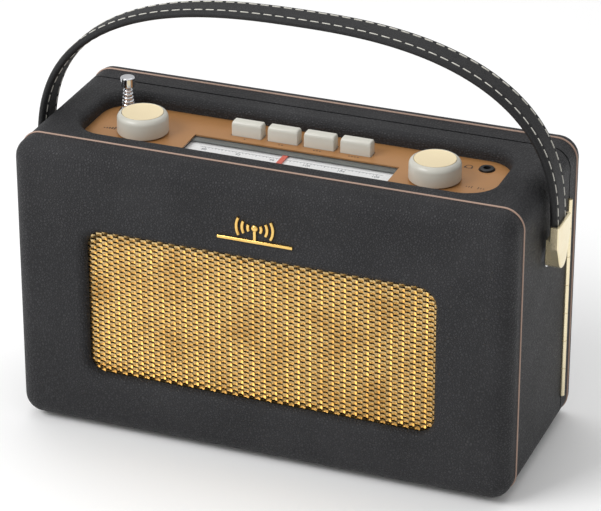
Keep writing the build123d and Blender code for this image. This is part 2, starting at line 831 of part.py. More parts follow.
# ---------------------------------------------------------------- sockets
with BuildPart() as headphone_socket:
    with BuildSketch(Plane.XY.offset(panel_top - socket_hole_depth - 1)):
        with Locations((socket_x, socket_y)):
            Circle(socket_body_radius)
    extrude(amount=socket_hole_depth + 1)
    with BuildSketch(Plane.XY.offset(panel_top)):
        with Locations((socket_x, socket_y)):
            Circle(socket_nut_radius)
    extrude(amount=socket_nut_height)
    fillet(headphone_socket.edges().group_by(Axis.Z)[-1], small_edge)
    with BuildSketch(Plane.XY.offset(panel_top + socket_nut_height)):
        with Locations((socket_x, socket_y)):
            Circle(socket_hole_radius)
    extrude(amount=-socket_hole_depth, mode=Mode.SUBTRACT)
write(headphone_socket.part, "headphone_socket")

with BuildPart() as power_socket:
    with BuildSketch(Plane.YZ.offset(-side)):
        with Locations((power_y, power_z)):
            Circle(power_body_radius)
    extrude(amount=power_hole_depth + 2)
    with BuildSketch(Plane.YZ.offset(-side + wall)):
        with Locations((power_y, power_z)):
            RegularPolygon(power_body_radius + 2, 6)
    extrude(amount=2.0)
    with BuildSketch(Plane.YZ.offset(-side)):
        with Locations((power_y, power_z)):
            Circle(power_hole_radius)
    extrude(amount=power_hole_depth, mode=Mode.SUBTRACT)
write(power_socket.part, "power_socket")

# ---------------------------------------------------------------- batteries
cell_pitch = 2 * cell_radius + 2.0
contact_sheet = 0.5
tray_half = cell_length + 4.0
tray_height = 2 * cell_pitch + 2 * battery_wall
tray_depth = 2 * cell_radius + battery_wall + 0.6
tray_rear = band_rear - 2.0
tray_front = tray_rear - tray_depth
tray_bottom = cabinet_bottom + wall
cell_y = tray_front + battery_wall + 0.3 + cell_radius
cell_rows = [tray_bottom + battery_wall + cell_pitch * (row + 0.5) for row in range(2)]

with BuildPart() as battery_tray:
    with BuildSketch(Plane.XY.offset(tray_bottom)):
        with Locations((0, tray_front)):
            Rectangle(2 * tray_half, tray_depth, align=(Align.CENTER, Align.MIN))
    extrude(amount=tray_height)
    with BuildSketch(front_plane(tray_rear)):
        with Locations((0, tray_bottom + tray_height / 2)):
            Rectangle(2 * (tray_half - battery_wall), tray_height - 2 * battery_wall)
    extrude(amount=tray_depth - battery_wall, mode=Mode.SUBTRACT)
write(battery_tray.part, "battery_tray")

with BuildPart() as battery_cells:
    for end in (-1, 1):
        with BuildSketch(Plane.YZ.offset(end * (cell_length / 2 + 0.6) - cell_length / 2)):
            with Locations([(cell_y, z) for z in cell_rows]):
                Circle(cell_radius)
        extrude(amount=cell_length)
write(battery_cells.part, "battery_cells")

with BuildPart() as battery_contacts:
    for end in (-1, 1):
        plate = end * (tray_half - battery_wall - contact_sheet / 2)
        with BuildSketch(Plane.YZ.offset(plate - contact_sheet / 2)):
            with Locations((cell_y, tray_bottom + tray_height / 2)):
                Rectangle(9, tray_height - 2 * battery_wall - 4)
        extrude(amount=contact_sheet)
        with BuildSketch(Plane.YZ.offset(plate - end * contact_sheet / 2)):
            with Locations([(cell_y, z) for z in cell_rows]):
                Circle(3.0)
        extrude(amount=-end * (tray_half - battery_wall - contact_sheet - cell_length - 0.7))
write(battery_contacts.part, "battery_contacts")

# ---------------------------------------------------------------- telescopic aerial
bush_top = panel_top + bush_height
collars = ((3.5, 2), (3.0, 2), (2.6, 2), (1.9, 1))     # bead radius and number of beads of each section
mouths = [
    bush_top + 2 * fit_gap + bead_pitch * sum(count for _, count in collars[:section])
    for section in range(len(collars))
]

with BuildPart() as aerial_bush:
    with BuildSketch(Plane.XY.offset(chassis_bottom - bush_tail)):
        with Locations((aerial_x, aerial_y)):
            Circle(bush_radius)
            Circle(aerial_radii[0] + running, mode=Mode.SUBTRACT)
    extrude(amount=bush_top - chassis_bottom + bush_tail)
    fillet(aerial_bush.edges().group_by(Axis.Z)[-1].sort_by(SortBy.RADIUS)[-1], 0.6)
write(aerial_bush.part, "aerial_bush")


def aerial_section(number):
    """One tube of the aerial, the beads at its mouth, and the bore that the next one slides in."""
    radius = aerial_radii[number]
    bead_radius, count = collars[number]
    mouth = mouths[number]
    with BuildPart() as tube:
        length = aerial_length - section_step * number
        with BuildSketch(Plane.XY.offset(mouth + bead_pitch * count - length)):
            with Locations((aerial_x, aerial_y)):
                Circle(radius)
        extrude(amount=length)
        with BuildSketch(Plane(origin=(aerial_x, aerial_y, 0), x_dir=(1, 0, 0), z_dir=(0, -1, 0))):
            for bead in range(count):
                low = mouth + bead_pitch * bead + 0.1
                high = low + bead_pitch - 0.3
                with BuildLine():
                    inner = radius - 0.1
                    ThreePointArc((inner, low), (bead_radius - 0.25 * bead, (low + high) / 2), (inner, high))
                    Line((inner, high), (inner, low))
                make_face()
        revolve(axis=Axis((aerial_x, aerial_y, 0), (0, 0, 1)))
        if number + 1 < len(aerial_radii):
            with BuildSketch(Plane.XY.offset(mouth + bead_pitch * count)):
                with Locations((aerial_x, aerial_y)):
                    Circle(aerial_radii[number + 1] + running)
            extrude(amount=-aerial_length, mode=Mode.SUBTRACT)
        else:
            with BuildSketch(Plane.XY.offset(mouth + bead_pitch * count - 0.3)):
                with Locations((aerial_x, aerial_y)):
                    Circle(aerial_cap_radius)
            extrude(amount=aerial_cap_height)
            fillet(tube.edges().group_by(Axis.Z)[-1], 0.6)
    return tube.part


for number, name in enumerate(("aerial_lower", "aerial_second", "aerial_third", "aerial_tip")):
    write(aerial_section(number), name)

# ---------------------------------------------------------------- carrying handle
strap_end = pivot_z + boss_above_pivot + 0.3


def arch(half_span, rise, points=13):
    """Points of a flattened arch from its right leg over the top to its left leg."""
    places = []
    for step in range(2 * points - 1):
        angle = pi * step / (2 * points - 2)
        x, z = cos(angle), sin(angle)
        flat = 2 / strap_fullness
        places.append((half_span * abs(x) ** flat * (1 if x >= 0 else -1), leg_top + rise * abs(z) ** flat))
    return places


with BuildPart() as handle_strap:
    with BuildSketch(front_plane(strap_width / 2)):
        with BuildLine():
            outer_x = leg_x + strap_thickness / 2
            inner_x = leg_x - strap_thickness / 2
            Spline(*arch(outer_x, handle_rise + strap_thickness / 2), tangents=((0, 1), (0, -1)))
            Spline(*arch(inner_x, handle_rise - strap_thickness / 2), tangents=((0, 1), (0, -1)))
            for end in (-1, 1):
                Polyline(
                    (end * outer_x, leg_top), (end * outer_x, strap_end),
                    (end * inner_x, strap_end), (end * inner_x, leg_top),
                )
        make_face()
    extrude(amount=strap_width)
write(handle_strap.part, "handle_strap")

bracket_outer = leg_x + strap_thickness / 2 + 0.05 + bracket_plate
bracket_inner = bracket_outer - bracket_flange
boss_inner = side + washer_thickness + 0.2
mouth_top = pivot_z + bracket_above_pivot
with BuildPart() as handle_bracket_right:
    with BuildSketch(Plane.YZ.offset(bracket_inner)):
        with Locations((0, mouth_top)):
            Rectangle(bracket_width, bracket_straight, align=(Align.CENTER, Align.MAX))
        with Locations((0, pivot_z)):
            Circle(bracket_tip_radius)
        make_hull()
    extrude(amount=bracket_flange)
    fillet(handle_bracket_right.edges().group_by(Axis.X)[-1], 0.6)
    with BuildSketch(Plane.YZ.offset(boss_inner)):
        with Locations((0, pivot_z)):
            Circle(bracket_tip_radius)
            Rectangle(2 * bracket_tip_radius, boss_above_pivot, align=(Align.CENTER, Align.MIN))
    extrude(amount=bracket_inner - boss_inner)
    with BuildSketch(Plane.YZ.offset(bracket_inner)):
        with Locations((0, strap_end)):
            Rectangle(strap_width + 0.2, mouth_top - strap_end, align=(Align.CENTER, Align.MIN))
    extrude(amount=bracket_flange - bracket_plate, mode=Mode.SUBTRACT)
    with BuildSketch(Plane.YZ.offset(boss_inner)):
        with Locations((0, pivot_z)):
            Circle(pivot_radius + running)
    extrude(amount=bracket_outer - 2 - boss_inner, mode=Mode.SUBTRACT)
write(handle_bracket_right.part, "handle_bracket_right")
write(mirror(handle_bracket_right.part, about=Plane.YZ), "handle_bracket_left")

with BuildPart() as pivot_studs:
    with BuildSketch(Plane.YZ.offset(side - wall - 2)):
        with Locations((0, pivot_z)):
            RegularPolygon(6.0, 6)
    extrude(amount=2.0)
    with BuildSketch(Plane.YZ.offset(side - wall)):
        with Locations((0, pivot_z)):
            Circle(pivot_radius)
    extrude(amount=bracket_outer - 2.3 - side + wall)
    mirror(about=Plane.YZ)
write(pivot_studs.part, "pivot_studs")

with BuildPart() as pivot_washers:
    with BuildSketch(Plane.YZ.offset(side)):
        with Locations((0, pivot_z)):
            Circle(washer_radius)
            Circle(pivot_radius + fit_gap, mode=Mode.SUBTRACT)
    extrude(amount=washer_thickness)
    mirror(about=Plane.YZ)
write(pivot_washers.part, "pivot_washers")


# ---------------------------------------------------------------- hinge and back door
def hinge_leaf(first_knuckle, plate_front):
    """One leaf: its thin plate, and every other knuckle joined to it by a tab."""
    with BuildPart() as leaf:
        with BuildSketch(front_plane(plate_front + hinge_leaf_thickness)):
            plate_edge = hinge_x - hinge_barrel_radius - 0.3
            with Locations((plate_edge, hinge_start)):
                Rectangle(
                    hinge_leaf_width, hinge_end - hinge_start, align=(Align.MAX, Align.MIN)
                )
            for number in range(first_knuckle, knuckle_count, 2):
                with Locations((plate_edge, hinge_start + number * hinge_knuckle + knuckle_gap / 2)):
                    Rectangle(
                        hinge_x - plate_edge - hinge_pin_radius - 0.2, hinge_knuckle - knuckle_gap,
                        align=(Align.MIN, Align.MIN),
                    )
        extrude(amount=hinge_leaf_thickness)
        for number in range(first_knuckle, knuckle_count, 2):
            with BuildSketch(Plane.XY.offset(hinge_start + number * hinge_knuckle + knuckle_gap / 2)):
                with Locations((hinge_x, hinge_y)):
                    Circle(hinge_barrel_radius)
            extrude(amount=hinge_knuckle - knuckle_gap)
        with BuildSketch(Plane.XY.offset(hinge_start)):
            with Locations((hinge_x, hinge_y)):
                Circle(hinge_pin_radius + running)
        extrude(amount=hinge_end - hinge_start, mode=Mode.SUBTRACT)
    return leaf.part


write(hinge_leaf(0, band_rear), "hinge_leaf_cabinet")
write(hinge_leaf(1, door_front - hinge_leaf_thickness), "hinge_leaf_door")

with BuildPart() as hinge_pin:
    with BuildSketch(Plane.XY.offset(hinge_start)):
        with Locations((hinge_x, hinge_y)):
            Circle(hinge_pin_radius)
    extrude(amount=hinge_end - hinge_start)
write(hinge_pin.part, "hinge_pin")

with BuildPart() as door_rim:
    add(outline_block(door_front, door_piping_front))
    add(outline_block(door_front, door_piping_front, inset=door_wall), mode=Mode.SUBTRACT)
    add(hinge_rebate(), mode=Mode.SUBTRACT)
write(door_rim.part, "door_rim")

write(piping_ring(door_piping_front), "door_piping")

with BuildPart() as door_panel:
    add(outline_block(rear - door_back_depth, rear))
    fillet(door_panel.edges().group_by(Axis.Y)[-1], door_rounding)
write(door_panel.part, "door_panel")

catch_half = 10.0
catch_reach = 8.0
catch_gap = 3.5             # above the power socket
magnet_length = 9.0
strike_thickness = 1.5
catch_z = power_z + power_body_radius + catch_gap + catch_half
with BuildPart() as door_magnet:
    with BuildSketch(front_plane(band_rear)):
        with Locations((-side + wall, catch_z)):
            Rectangle(catch_reach, 2 * catch_half, align=(Align.MIN, Align.CENTER))
    extrude(amount=magnet_length)
write(door_magnet.part, "door_magnet")

with BuildPart() as door_strike:
    with BuildSketch(front_plane(door_front + strike_thickness)):
        with Locations((-side + door_wall, catch_z)):
            Rectangle(
                catch_reach + wall - door_wall, 2 * catch_half, align=(Align.MIN, Align.CENTER)
            )
    extrude(amount=strike_thickness)
write(door_strike.part, "door_strike")

# ---------------------------------------------------------------- feet
with BuildPart() as feet:
    with BuildSketch(Plane.XY):
        for y in (band_front + foot_radius + 1, band_rear - foot_radius - 1):
            with Locations((-side + foot_inset, y), (side - foot_inset, y)):
                Circle(foot_radius)
    extrude(amount=foot_height)
    fillet(feet.edges().group_by(Axis.Z)[0], small_edge)
write(feet.part, "feet")
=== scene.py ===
"""The looks of a portable tabletop radio: leathercloth cabinet, gold grille, top controls, stitched strap.

Metres. X is the width (right positive), Y runs from front to back, Z is up, as in the frame.
"""

import bpy
import bmesh
import json
from math import cos, exp, pi, radians, sin
from mathutils import Matrix, Vector


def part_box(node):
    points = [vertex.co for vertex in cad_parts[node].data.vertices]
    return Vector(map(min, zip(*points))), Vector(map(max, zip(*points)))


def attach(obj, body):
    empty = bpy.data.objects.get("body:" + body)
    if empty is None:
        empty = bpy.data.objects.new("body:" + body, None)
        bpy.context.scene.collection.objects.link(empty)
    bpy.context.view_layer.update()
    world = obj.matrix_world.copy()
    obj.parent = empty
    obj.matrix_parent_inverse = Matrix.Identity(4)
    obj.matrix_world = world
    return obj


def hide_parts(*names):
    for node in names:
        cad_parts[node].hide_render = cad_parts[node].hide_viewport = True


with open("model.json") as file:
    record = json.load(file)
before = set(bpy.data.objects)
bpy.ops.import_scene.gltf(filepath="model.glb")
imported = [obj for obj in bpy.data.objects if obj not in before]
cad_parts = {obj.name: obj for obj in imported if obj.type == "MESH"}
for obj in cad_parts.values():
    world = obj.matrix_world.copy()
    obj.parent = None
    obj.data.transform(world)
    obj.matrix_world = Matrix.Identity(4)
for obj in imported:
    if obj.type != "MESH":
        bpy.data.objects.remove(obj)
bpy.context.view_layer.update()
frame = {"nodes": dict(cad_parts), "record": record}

MM = 0.001
TOUCH = 1e-6                    # places closer than this are the same place

# ---------------------------------------------------------------- places taken from the frame
cover_low, cover_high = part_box("front_cover")
mesh_low, mesh_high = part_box("grille_mesh")
emblem_low, emblem_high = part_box("emblem")
strap_low, strap_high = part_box("handle_strap")
lens_low, lens_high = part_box("dial_lens")
panel_low, panel_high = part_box("control_panel")
socket_low, socket_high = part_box("headphone_socket")
scale_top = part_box("dial_scale")[1].z

GRILLE_OVERLAP = 4 * MM         # mesh hidden behind the opening's edge, all round
GRILLE_CORNER = 9 * MM
GRILLE_ROLL = 4.4 * MM          # radius of the leather edge that rolls in to the mesh
grille_width = mesh_high.x - mesh_low.x - 2 * GRILLE_OVERLAP
grille_height = mesh_high.z - mesh_low.z - 2 * GRILLE_OVERLAP
grille_middle = (mesh_low.z + mesh_high.z) / 2
grille_front = mesh_low.y

# ---------------------------------------------------------------- camera
AZIMUTH = radians(21.17)
ELEVATION = radians(26.43)
DISTANCE = 1.531
LENS = 188.65
TARGET = Vector((0, 0, 0.076))
AIM_RIGHT = 2.454 * MM          # how far the camera stands beside and above its line to the target
AIM_UP = 10.616 * MM
NEAR_LIMIT = 0.05


def add_camera():
    """The camera looks down at the radio from its front right."""
    back = Vector((sin(AZIMUTH) * cos(ELEVATION), -cos(AZIMUTH) * cos(ELEVATION), sin(ELEVATION)))
    right = Vector((cos(AZIMUTH), sin(AZIMUTH), 0))
    up = back.cross(right)
    camera = bpy.data.objects.new("camera", bpy.data.cameras.new("camera"))
    camera.data.lens = LENS
    camera.data.clip_start = NEAR_LIMIT
    place = TARGET + right * AIM_RIGHT + up * AIM_UP + back * DISTANCE
    camera.matrix_world = Matrix.Translation(place) @ Matrix((right, up, back)).transposed().to_4x4()
    bpy.context.scene.collection.objects.link(camera)
    bpy.context.scene.camera = camera


# ---------------------------------------------------------------- shader kit
def colour(red, green, blue):
    """A linear colour from the 0 to 255 values that a paint card gives."""
    channels = [value / 255 for value in (red, green, blue)]
    linear = [c / 12.92 if c <= 0.04045 else ((c + 0.055) / 1.055) ** 2.4 for c in channels]
    return (*linear, 1.0)


class Socket:
    """A value in a material. Sums and products of sockets and numbers add the Math nodes they need."""

    def __init__(self, surface, source):
        self.surface = surface
        self.source = source

    def math(self, operation, first, second):
        return self.surface.node("ShaderNodeMath", {"operation": operation}, {0: first, 1: second})

    def __add__(self, other):
        return self.math("ADD", self, other)

    def __sub__(self, other):
        return self.math("SUBTRACT", self, other)

    def __rsub__(self, other):
        return self.math("SUBTRACT", other, self)

    def __mul__(self, other):
        return self.math("MULTIPLY", self, other)

    __radd__ = __add__
    __rmul__ = __mul__


class Surface:
    """One procedural material: a Principled shader, its constants, and the nodes that feed it."""

    def __init__(self, name, constants):
        self.material = bpy.data.materials.new(name)
        self.material.use_nodes = True
        self.tree = self.material.node_tree
        self.shader = self.tree.nodes["Principled BSDF"]
        for socket, value in constants.items():
            self.shader.inputs[socket].default_value = value
        self.place = self.node("ShaderNodeTexCoord", output="Object")

    def node(self, kind, settings=None, inputs=None, output=0):
        """Adds a node: its settings first, then the values or links of its sockets."""
        made = self.tree.nodes.new(kind)
        for name, value in (settings or {}).items():
            setattr(made, name, value)
        for name, value in (inputs or {}).items():
            self.feed(made.inputs[name], value)
        return Socket(self, made.outputs[output])

    def feed(self, target, value):
        """Links a socket, or sets a constant."""
        if isinstance(value, Socket):
            self.tree.links.new(value.source, target)
        else:
            target.default_value = value

    def shade(self, **values):
        """Feeds the shader's own sockets: colour, rough, metal and normal."""
        names = {"colour": "Base Color", "rough": "Roughness", "metal": "Metallic", "normal": "Normal"}
        for name, value in values.items():
            self.feed(self.shader.inputs[names[name]], value)

    def noise(self, scale, detail=2.0, vector=None):
        """A soft noise from 0 to 1. Scale counts its waves in a metre."""
        inputs = {"Vector": vector or self.place, "Scale": scale, "Detail": detail}
        return self.node("ShaderNodeTexNoise", None, inputs)

    def cells(self, scale, vector):
        """Rounded cells: 0 along their edges and more towards their middles."""
        inputs = {"Vector": vector, "Scale": scale}
        return self.node("ShaderNodeTexVoronoi", {"feature": "DISTANCE_TO_EDGE"}, inputs)

    def wave(self, direction, scale, **inputs):
        """Straight bands that rise and fall along a direction."""
        settings = {"wave_type": "BANDS", "bands_direction": direction}
        return self.node("ShaderNodeTexWave", settings, {"Vector": self.place, "Scale": scale, **inputs})

    def ramp(self, value, low, high):
        """0 below low, 1 above high, and smooth between."""
        inputs = {"Value": value, "From Min": low, "From Max": high}
        return self.node("ShaderNodeMapRange", {"interpolation_type": "SMOOTHSTEP"}, inputs)

    def tint(self, factor, dark, light):
        """One colour turning into another."""
        return self.node("ShaderNodeMix", {"data_type": "RGBA"}, {0: factor, 6: dark, 7: light}, output=2)

    def stretched(self, x, y, z):
        """The object's coordinates, stretched."""
        return self.node("ShaderNodeMapping", None, {"Vector": self.place, "Scale": (x, y, z)})

    def warped(self, scale, amount):
        """The object's coordinates, pushed about by a noise."""
        inputs = {"Vector": self.place, "Scale": scale, "Detail": 2.0}
        push = self.node("ShaderNodeTexNoise", None, inputs, output="Color")
        centred = self.vector_math("SUBTRACT", {0: push, 1: (0.5, 0.5, 0.5)})
        scaled = self.vector_math("SCALE", {0: centred, "Scale": amount})
        return self.vector_math("ADD", {0: self.place, 1: scaled})

    def vector_math(self, operation, inputs):
        """Sums and stretches of coordinates."""
        return self.node("ShaderNodeVectorMath", {"operation": operation}, inputs)

    def bump(self, height, depth):
        """Relief of a height from 0 to 1 that stands for a depth in metres."""
        inputs = {"Strength": 1.0, "Distance": depth, "Height": height}
        self.shade(normal=self.node("ShaderNodeBump", None, inputs))


# ---------------------------------------------------------------- materials
def leathercloth(name, crease, crown, cell, depth, shine):
    """Pebbled cloth-backed leather: rounded cells, duller in the creases, and darker there from painted
    shade.
    """
    surface = Surface(name, {"Specular IOR Level": 0.24})
    ground = surface.warped(1.0 / (3 * cell), 0.7 * cell)
    pebble = surface.ramp(surface.cells(1.0 / cell, ground), 0.0, 0.34)
    pores = surface.noise(3.2 / cell, 3.0)
    wear = surface.ramp(surface.noise(28.0, 3.0), 0.35, 0.75)
    # painted shade: the creases between the pebbles take the darker crease colour, and the crowns the
    # lighter one
    surface.shade(
        colour=surface.tint(pebble * 0.55 + pores * 0.25 + wear * 0.2, crease, crown),
        rough=shine + 0.16 - pebble * 0.12 + pores * 0.1 - wear * 0.04,
    )
    surface.bump(pebble * 0.8 + pores * 0.25, depth)
    return surface.material


def moulded(name, base, shade, rough, grain=900.0, depth=0.03 * MM, specular=0.5):
    """Moulded plastic or paint with a faint orange peel and slow changes of tone."""
    surface = Surface(name, {"Specular IOR Level": specular})
    peel = surface.noise(grain, 2.0)
    tone = surface.noise(35.0, 3.0)
    surface.shade(colour=surface.tint(tone, shade, base), rough=rough - 0.06 + peel * 0.08 + tone * 0.06)
    surface.bump(peel, depth)
    return surface.material


def metal(name, base, shade, rough, brushed=(1, 1, 1), depth=0.006 * MM, purity=1.0):
    """Bare or plated metal with fine brushing and a few duller patches; lacquer lowers its purity."""
    surface = Surface(name, {})
    lines = surface.noise(2500.0, 3.0, vector=surface.stretched(*brushed))
    tarnish = surface.ramp(surface.noise(60.0, 4.0), 0.4, 0.8)
    surface.shade(
        colour=surface.tint(tarnish * 0.6 + lines * 0.3, base, shade),
        rough=rough + lines * 0.08 + tarnish * 0.08,
        metal=purity,
    )
    surface.bump(lines, depth)
    return surface.material


def woven(name, thread, gap, pitch, depth):
    """Plain woven cloth: two crossing sets of threads, with painted shade in the gaps between them."""
    surface = Surface(name, {"Roughness": 0.9, "Specular IOR Level": 0.2})
    warp, weft = (surface.wave(way, 0.5 / pitch, Distortion=0.4, Detail=1.0) for way in ("X", "Z"))
    cloth = warp * weft
    # painted shade: where neither set of threads rises, the cloth takes the darker gap colour
    surface.shade(colour=surface.tint(cloth + surface.noise(400.0) * 0.3, gap, thread))
    surface.bump(cloth, depth)
    return surface.material


def plywood():
    """Pale board with stretched grain."""
    surface = Surface("plywood", {"Specular IOR Level": 0.3})
    grain = surface.noise(60.0, 6.0, vector=surface.stretched(1, 8, 8))
    pale = surface.tint(grain, colour(150, 112, 70), colour(206, 170, 120))
    surface.shade(colour=pale, rough=0.62 + grain * 0.2)
    surface.bump(grain, 0.1 * MM)
    return surface.material


def copper_lacquer():
    """Satin copper-gold lacquer over brushed sheet."""
    surface = Surface("copper_lacquer", {"Coat Weight": 0.25, "Coat Roughness": 0.25})
    lines = surface.noise(900.0, 4.0, vector=surface.stretched(0.06, 1, 1))
    tone = surface.noise(18.0, 3.0)
    surface.shade(
        colour=surface.tint(tone * 0.7 + lines * 0.3, colour(160, 110, 60), colour(188, 138, 86)),
        rough=0.36 + lines * 0.14,
        metal=0.35,
    )
    surface.bump(lines, 0.012 * MM)
    return surface.material


def lens_plastic():
    """Clear acrylic: it lets light straight through and shines more at low angles."""
    surface = Surface("lens_plastic", {"Base Color": (0.02, 0.02, 0.02, 1), "Coat Weight": 1.0})
    smear = surface.noise(70.0, 3.0)
    surface.shade(rough=0.03 + smear * 0.05)
    clear = surface.node("ShaderNodeBsdfTransparent", None, {"Color": (0.985, 0.985, 0.985, 1)})
    gloss = surface.node("ShaderNodeFresnel", None, {"IOR": 1.49})
    inside = surface.node("ShaderNodeNewGeometry", output="Backfacing")
    # only the outer face shines, so that the lens doesn't darken what lies under it
    mixed = surface.node("ShaderNodeMixShader", None, {0: gloss * (1 - inside), 1: clear})
    surface.tree.links.new(surface.shader.outputs[0], mixed.source.node.inputs[2])
    surface.tree.links.new(mixed.source, surface.tree.nodes["Material Output"].inputs["Surface"])
    return surface.material


def thread_white():
    """Waxed sewing thread with its twist."""
    surface = Surface("thread_white", {"Roughness": 0.6, "Specular IOR Level": 0.35})
    twist = surface.wave("DIAGONAL", 900.0)
    fibres = twist * 0.6 + surface.noise(500.0) * 0.4
    surface.shade(colour=surface.tint(fibres, colour(176, 172, 162), colour(238, 236, 228)))
    surface.bump(twist, 0.08 * MM)
    return surface.material


# After its name, each finish has two colours: crease and crown of a leathercloth, light and dark of a
# moulding, bright and dull of a metal, thread and gap of a cloth. Then comes the roughness.
materials = {
    # each leathercloth's darker crease colour is painted shade in the creases of its grain
    "leathercloth": leathercloth(
        "leathercloth", colour(26, 26, 28), colour(58, 58, 60), cell=1.3 * MM, depth=0.34 * MM, shine=0.42
    ),
    "strap_leather": leathercloth(
        "strap_leather", colour(25, 25, 26), colour(46, 46, 47), cell=0.8 * MM, depth=0.1 * MM, shine=0.38
    ),
    "piping": moulded("piping", colour(170, 142, 126), colour(148, 120, 104), 0.42),
    "board": plywood(),
    "gold_mesh": metal("gold_mesh", colour(216, 190, 140), colour(194, 164, 112), 0.24),
    "gilt": metal("gilt", colour(244, 206, 124), colour(220, 172, 90), 0.2),
    # the gap colours of the cloths are painted shade between their threads
    "speaker_cloth": woven(
        "speaker_cloth", colour(26, 20, 14), colour(9, 7, 5), pitch=0.7 * MM, depth=0.1 * MM
    ),
    "pressed_steel": metal("pressed_steel", colour(196, 198, 202), colour(150, 152, 156), 0.3),
    "soft_rubber": moulded("soft_rubber", colour(34, 34, 35), colour(24, 24, 24), 0.75, specular=0.25),
    "speaker_paper": moulded(
        "speaker_paper", colour(58, 54, 50), colour(40, 38, 35), 0.85,
        grain=500.0, depth=0.12 * MM, specular=0.2,
    ),
    "ferrite": moulded(
        "ferrite", colour(70, 70, 72), colour(48, 48, 50), 0.55, grain=700.0, depth=0.08 * MM
    ),
    "black_plastic": moulded("black_plastic", colour(32, 32, 34), colour(16, 16, 17), 0.4),
    "copper_panel": copper_lacquer(),
    "scale_white": moulded(
        "scale_white", colour(252, 252, 251), colour(244, 244, 244), 0.5, grain=600.0, depth=0.01 * MM
    ),
    "clear_lens": lens_plastic(),
    "pointer_red": moulded("pointer_red", colour(232, 112, 92), colour(214, 92, 76), 0.4),
    "dial_thread": woven(
        "dial_thread", colour(190, 180, 150), colour(120, 110, 90), pitch=0.3 * MM, depth=0.05 * MM
    ),
    "circuit_green": moulded("circuit_green", colour(28, 92, 58), colour(18, 70, 44), 0.35),
    "component_plastic": moulded("component_plastic", colour(60, 62, 70), colour(38, 40, 46), 0.4),
    "coil_copper": metal(
        "coil_copper", colour(190, 110, 70), colour(140, 74, 44), 0.3, brushed=(12, 1, 1), depth=0.04 * MM
    ),
    "cell_jacket": moulded("cell_jacket", colour(86, 92, 100), colour(66, 72, 80), 0.3),
    "bright_chrome": metal("bright_chrome", colour(232, 233, 236), colour(205, 206, 210), 0.06),
    "pale_brass": metal(
        "pale_brass", colour(255, 242, 206), colour(246, 226, 176), 0.16, brushed=(1, 1, 0.08), purity=0.8
    ),
    "knob_plastic": moulded(
        "knob_plastic", colour(206, 204, 194), colour(194, 192, 182), 0.3, grain=1400.0, depth=0.008 * MM
    ),
    "disc_gold": moulded(
        "disc_gold", colour(240, 224, 186), colour(232, 213, 172), 0.32, grain=1800.0, depth=0.006 * MM
    ),
    "thread_white": thread_white(),
    "dial_ink": moulded("dial_ink", colour(142, 146, 150), colour(120, 124, 128), 0.6),
    "panel_ink": moulded("panel_ink", colour(52, 42, 34), colour(40, 32, 26), 0.6),
    # grey of the band under the lens, which is a painted reflection of the buttons
    "dial_grey": moulded("dial_grey", colour(112, 116, 114), colour(96, 100, 98), 0.4),
}


def paint_frame():
    """Gives every node of the frame the material that its slot names."""
    for part in frame["record"]["subparts"]:
        node = frame["nodes"][part["node"]]
        for slot in node.material_slots:
            slot.material = materials[part["material_slot"]]


# ---------------------------------------------------------------- modelling kit
def begin():
    """Leaves edit mode and deselects everything."""
    if bpy.context.object and bpy.context.object.mode != "OBJECT":
        bpy.ops.object.mode_set(mode="OBJECT")
    bpy.ops.object.select_all(action="DESELECT")


def fix_place():
    """Puts the active piece's place, turn and scale into its mesh."""
    bpy.ops.object.transform_apply(location=True, rotation=True, scale=True)


def settle(name, body, material):
    """Ends a piece: its place goes into its mesh, its normals outwards, and it rides on a body."""
    bpy.ops.object.mode_set(mode="OBJECT")
    fix_place()
    piece = bpy.context.object
    piece.name = piece.data.name = name
    bpy.ops.object.mode_set(mode="EDIT")
    bpy.ops.mesh.select_all(action="SELECT")
    bpy.ops.mesh.normals_make_consistent(inside=False)
    bpy.ops.object.mode_set(mode="OBJECT")
    piece.data.materials.clear()
    piece.data.materials.append(materials[material])
    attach(piece, body)
    return piece


def smooth(degrees_sharp):
    """Smooth shading, with edges sharper than an angle left crisp."""
    bpy.ops.object.shade_smooth_by_angle(angle=radians(degrees_sharp))


def apply_modifier(kind, **settings):
    """Adds one modifier to the active piece and applies it."""
    modifier = bpy.context.object.modifiers.new(kind.lower(), kind)
    for name, value in settings.items():
        setattr(modifier, name, value)
    bpy.ops.object.modifier_apply(modifier=modifier.name)


def pick(kind, test):
    """In edit mode, selects the faces, edges or vertices whose middle passes a test."""
    bpy.ops.mesh.select_mode(type=kind)
    bpy.ops.mesh.select_all(action="DESELECT")
    mesh = bmesh.from_edit_mesh(bpy.context.object.data)
    for part in {"FACE": mesh.faces, "EDGE": mesh.edges, "VERT": mesh.verts}[kind]:
        corners = [part.co] if kind == "VERT" else [vertex.co for vertex in part.verts]
        if test(sum(corners, Vector()) / len(corners), part):
            part.select_set(True)
    bpy.context.object.data.update()
    bmesh.update_edit_mesh(bpy.context.object.data)


def draw_out(x, y, z):
    """Extrudes what is selected."""
    bpy.ops.mesh.extrude_region_move(TRANSFORM_OT_translate={"value": (x, y, z)})


def block(size, place):
    """Adds a rectangular block, in object mode."""
    begin()
    bpy.ops.mesh.primitive_cube_add(size=1, location=place)
    bpy.context.object.scale = size
    fix_place()
    return bpy.context.object


def upright_plate(width, height, middle, corner):
    """Adds a face that looks to the front, with round corners, and leaves it selected in edit mode."""
    begin()
    bpy.ops.mesh.primitive_plane_add(size=1, location=middle, rotation=(pi / 2, 0, 0))
    bpy.context.object.scale = (width, height, 1)
    fix_place()
    bpy.ops.object.mode_set(mode="EDIT")
    bpy.ops.mesh.select_mode(type="VERT")
    bpy.ops.mesh.select_all(action="SELECT")
    bpy.ops.mesh.bevel(offset=corner, segments=14, affect="VERTICES")
    bpy.ops.mesh.select_mode(type="FACE")
    bpy.ops.mesh.select_all(action="SELECT")
    return bpy.context.object


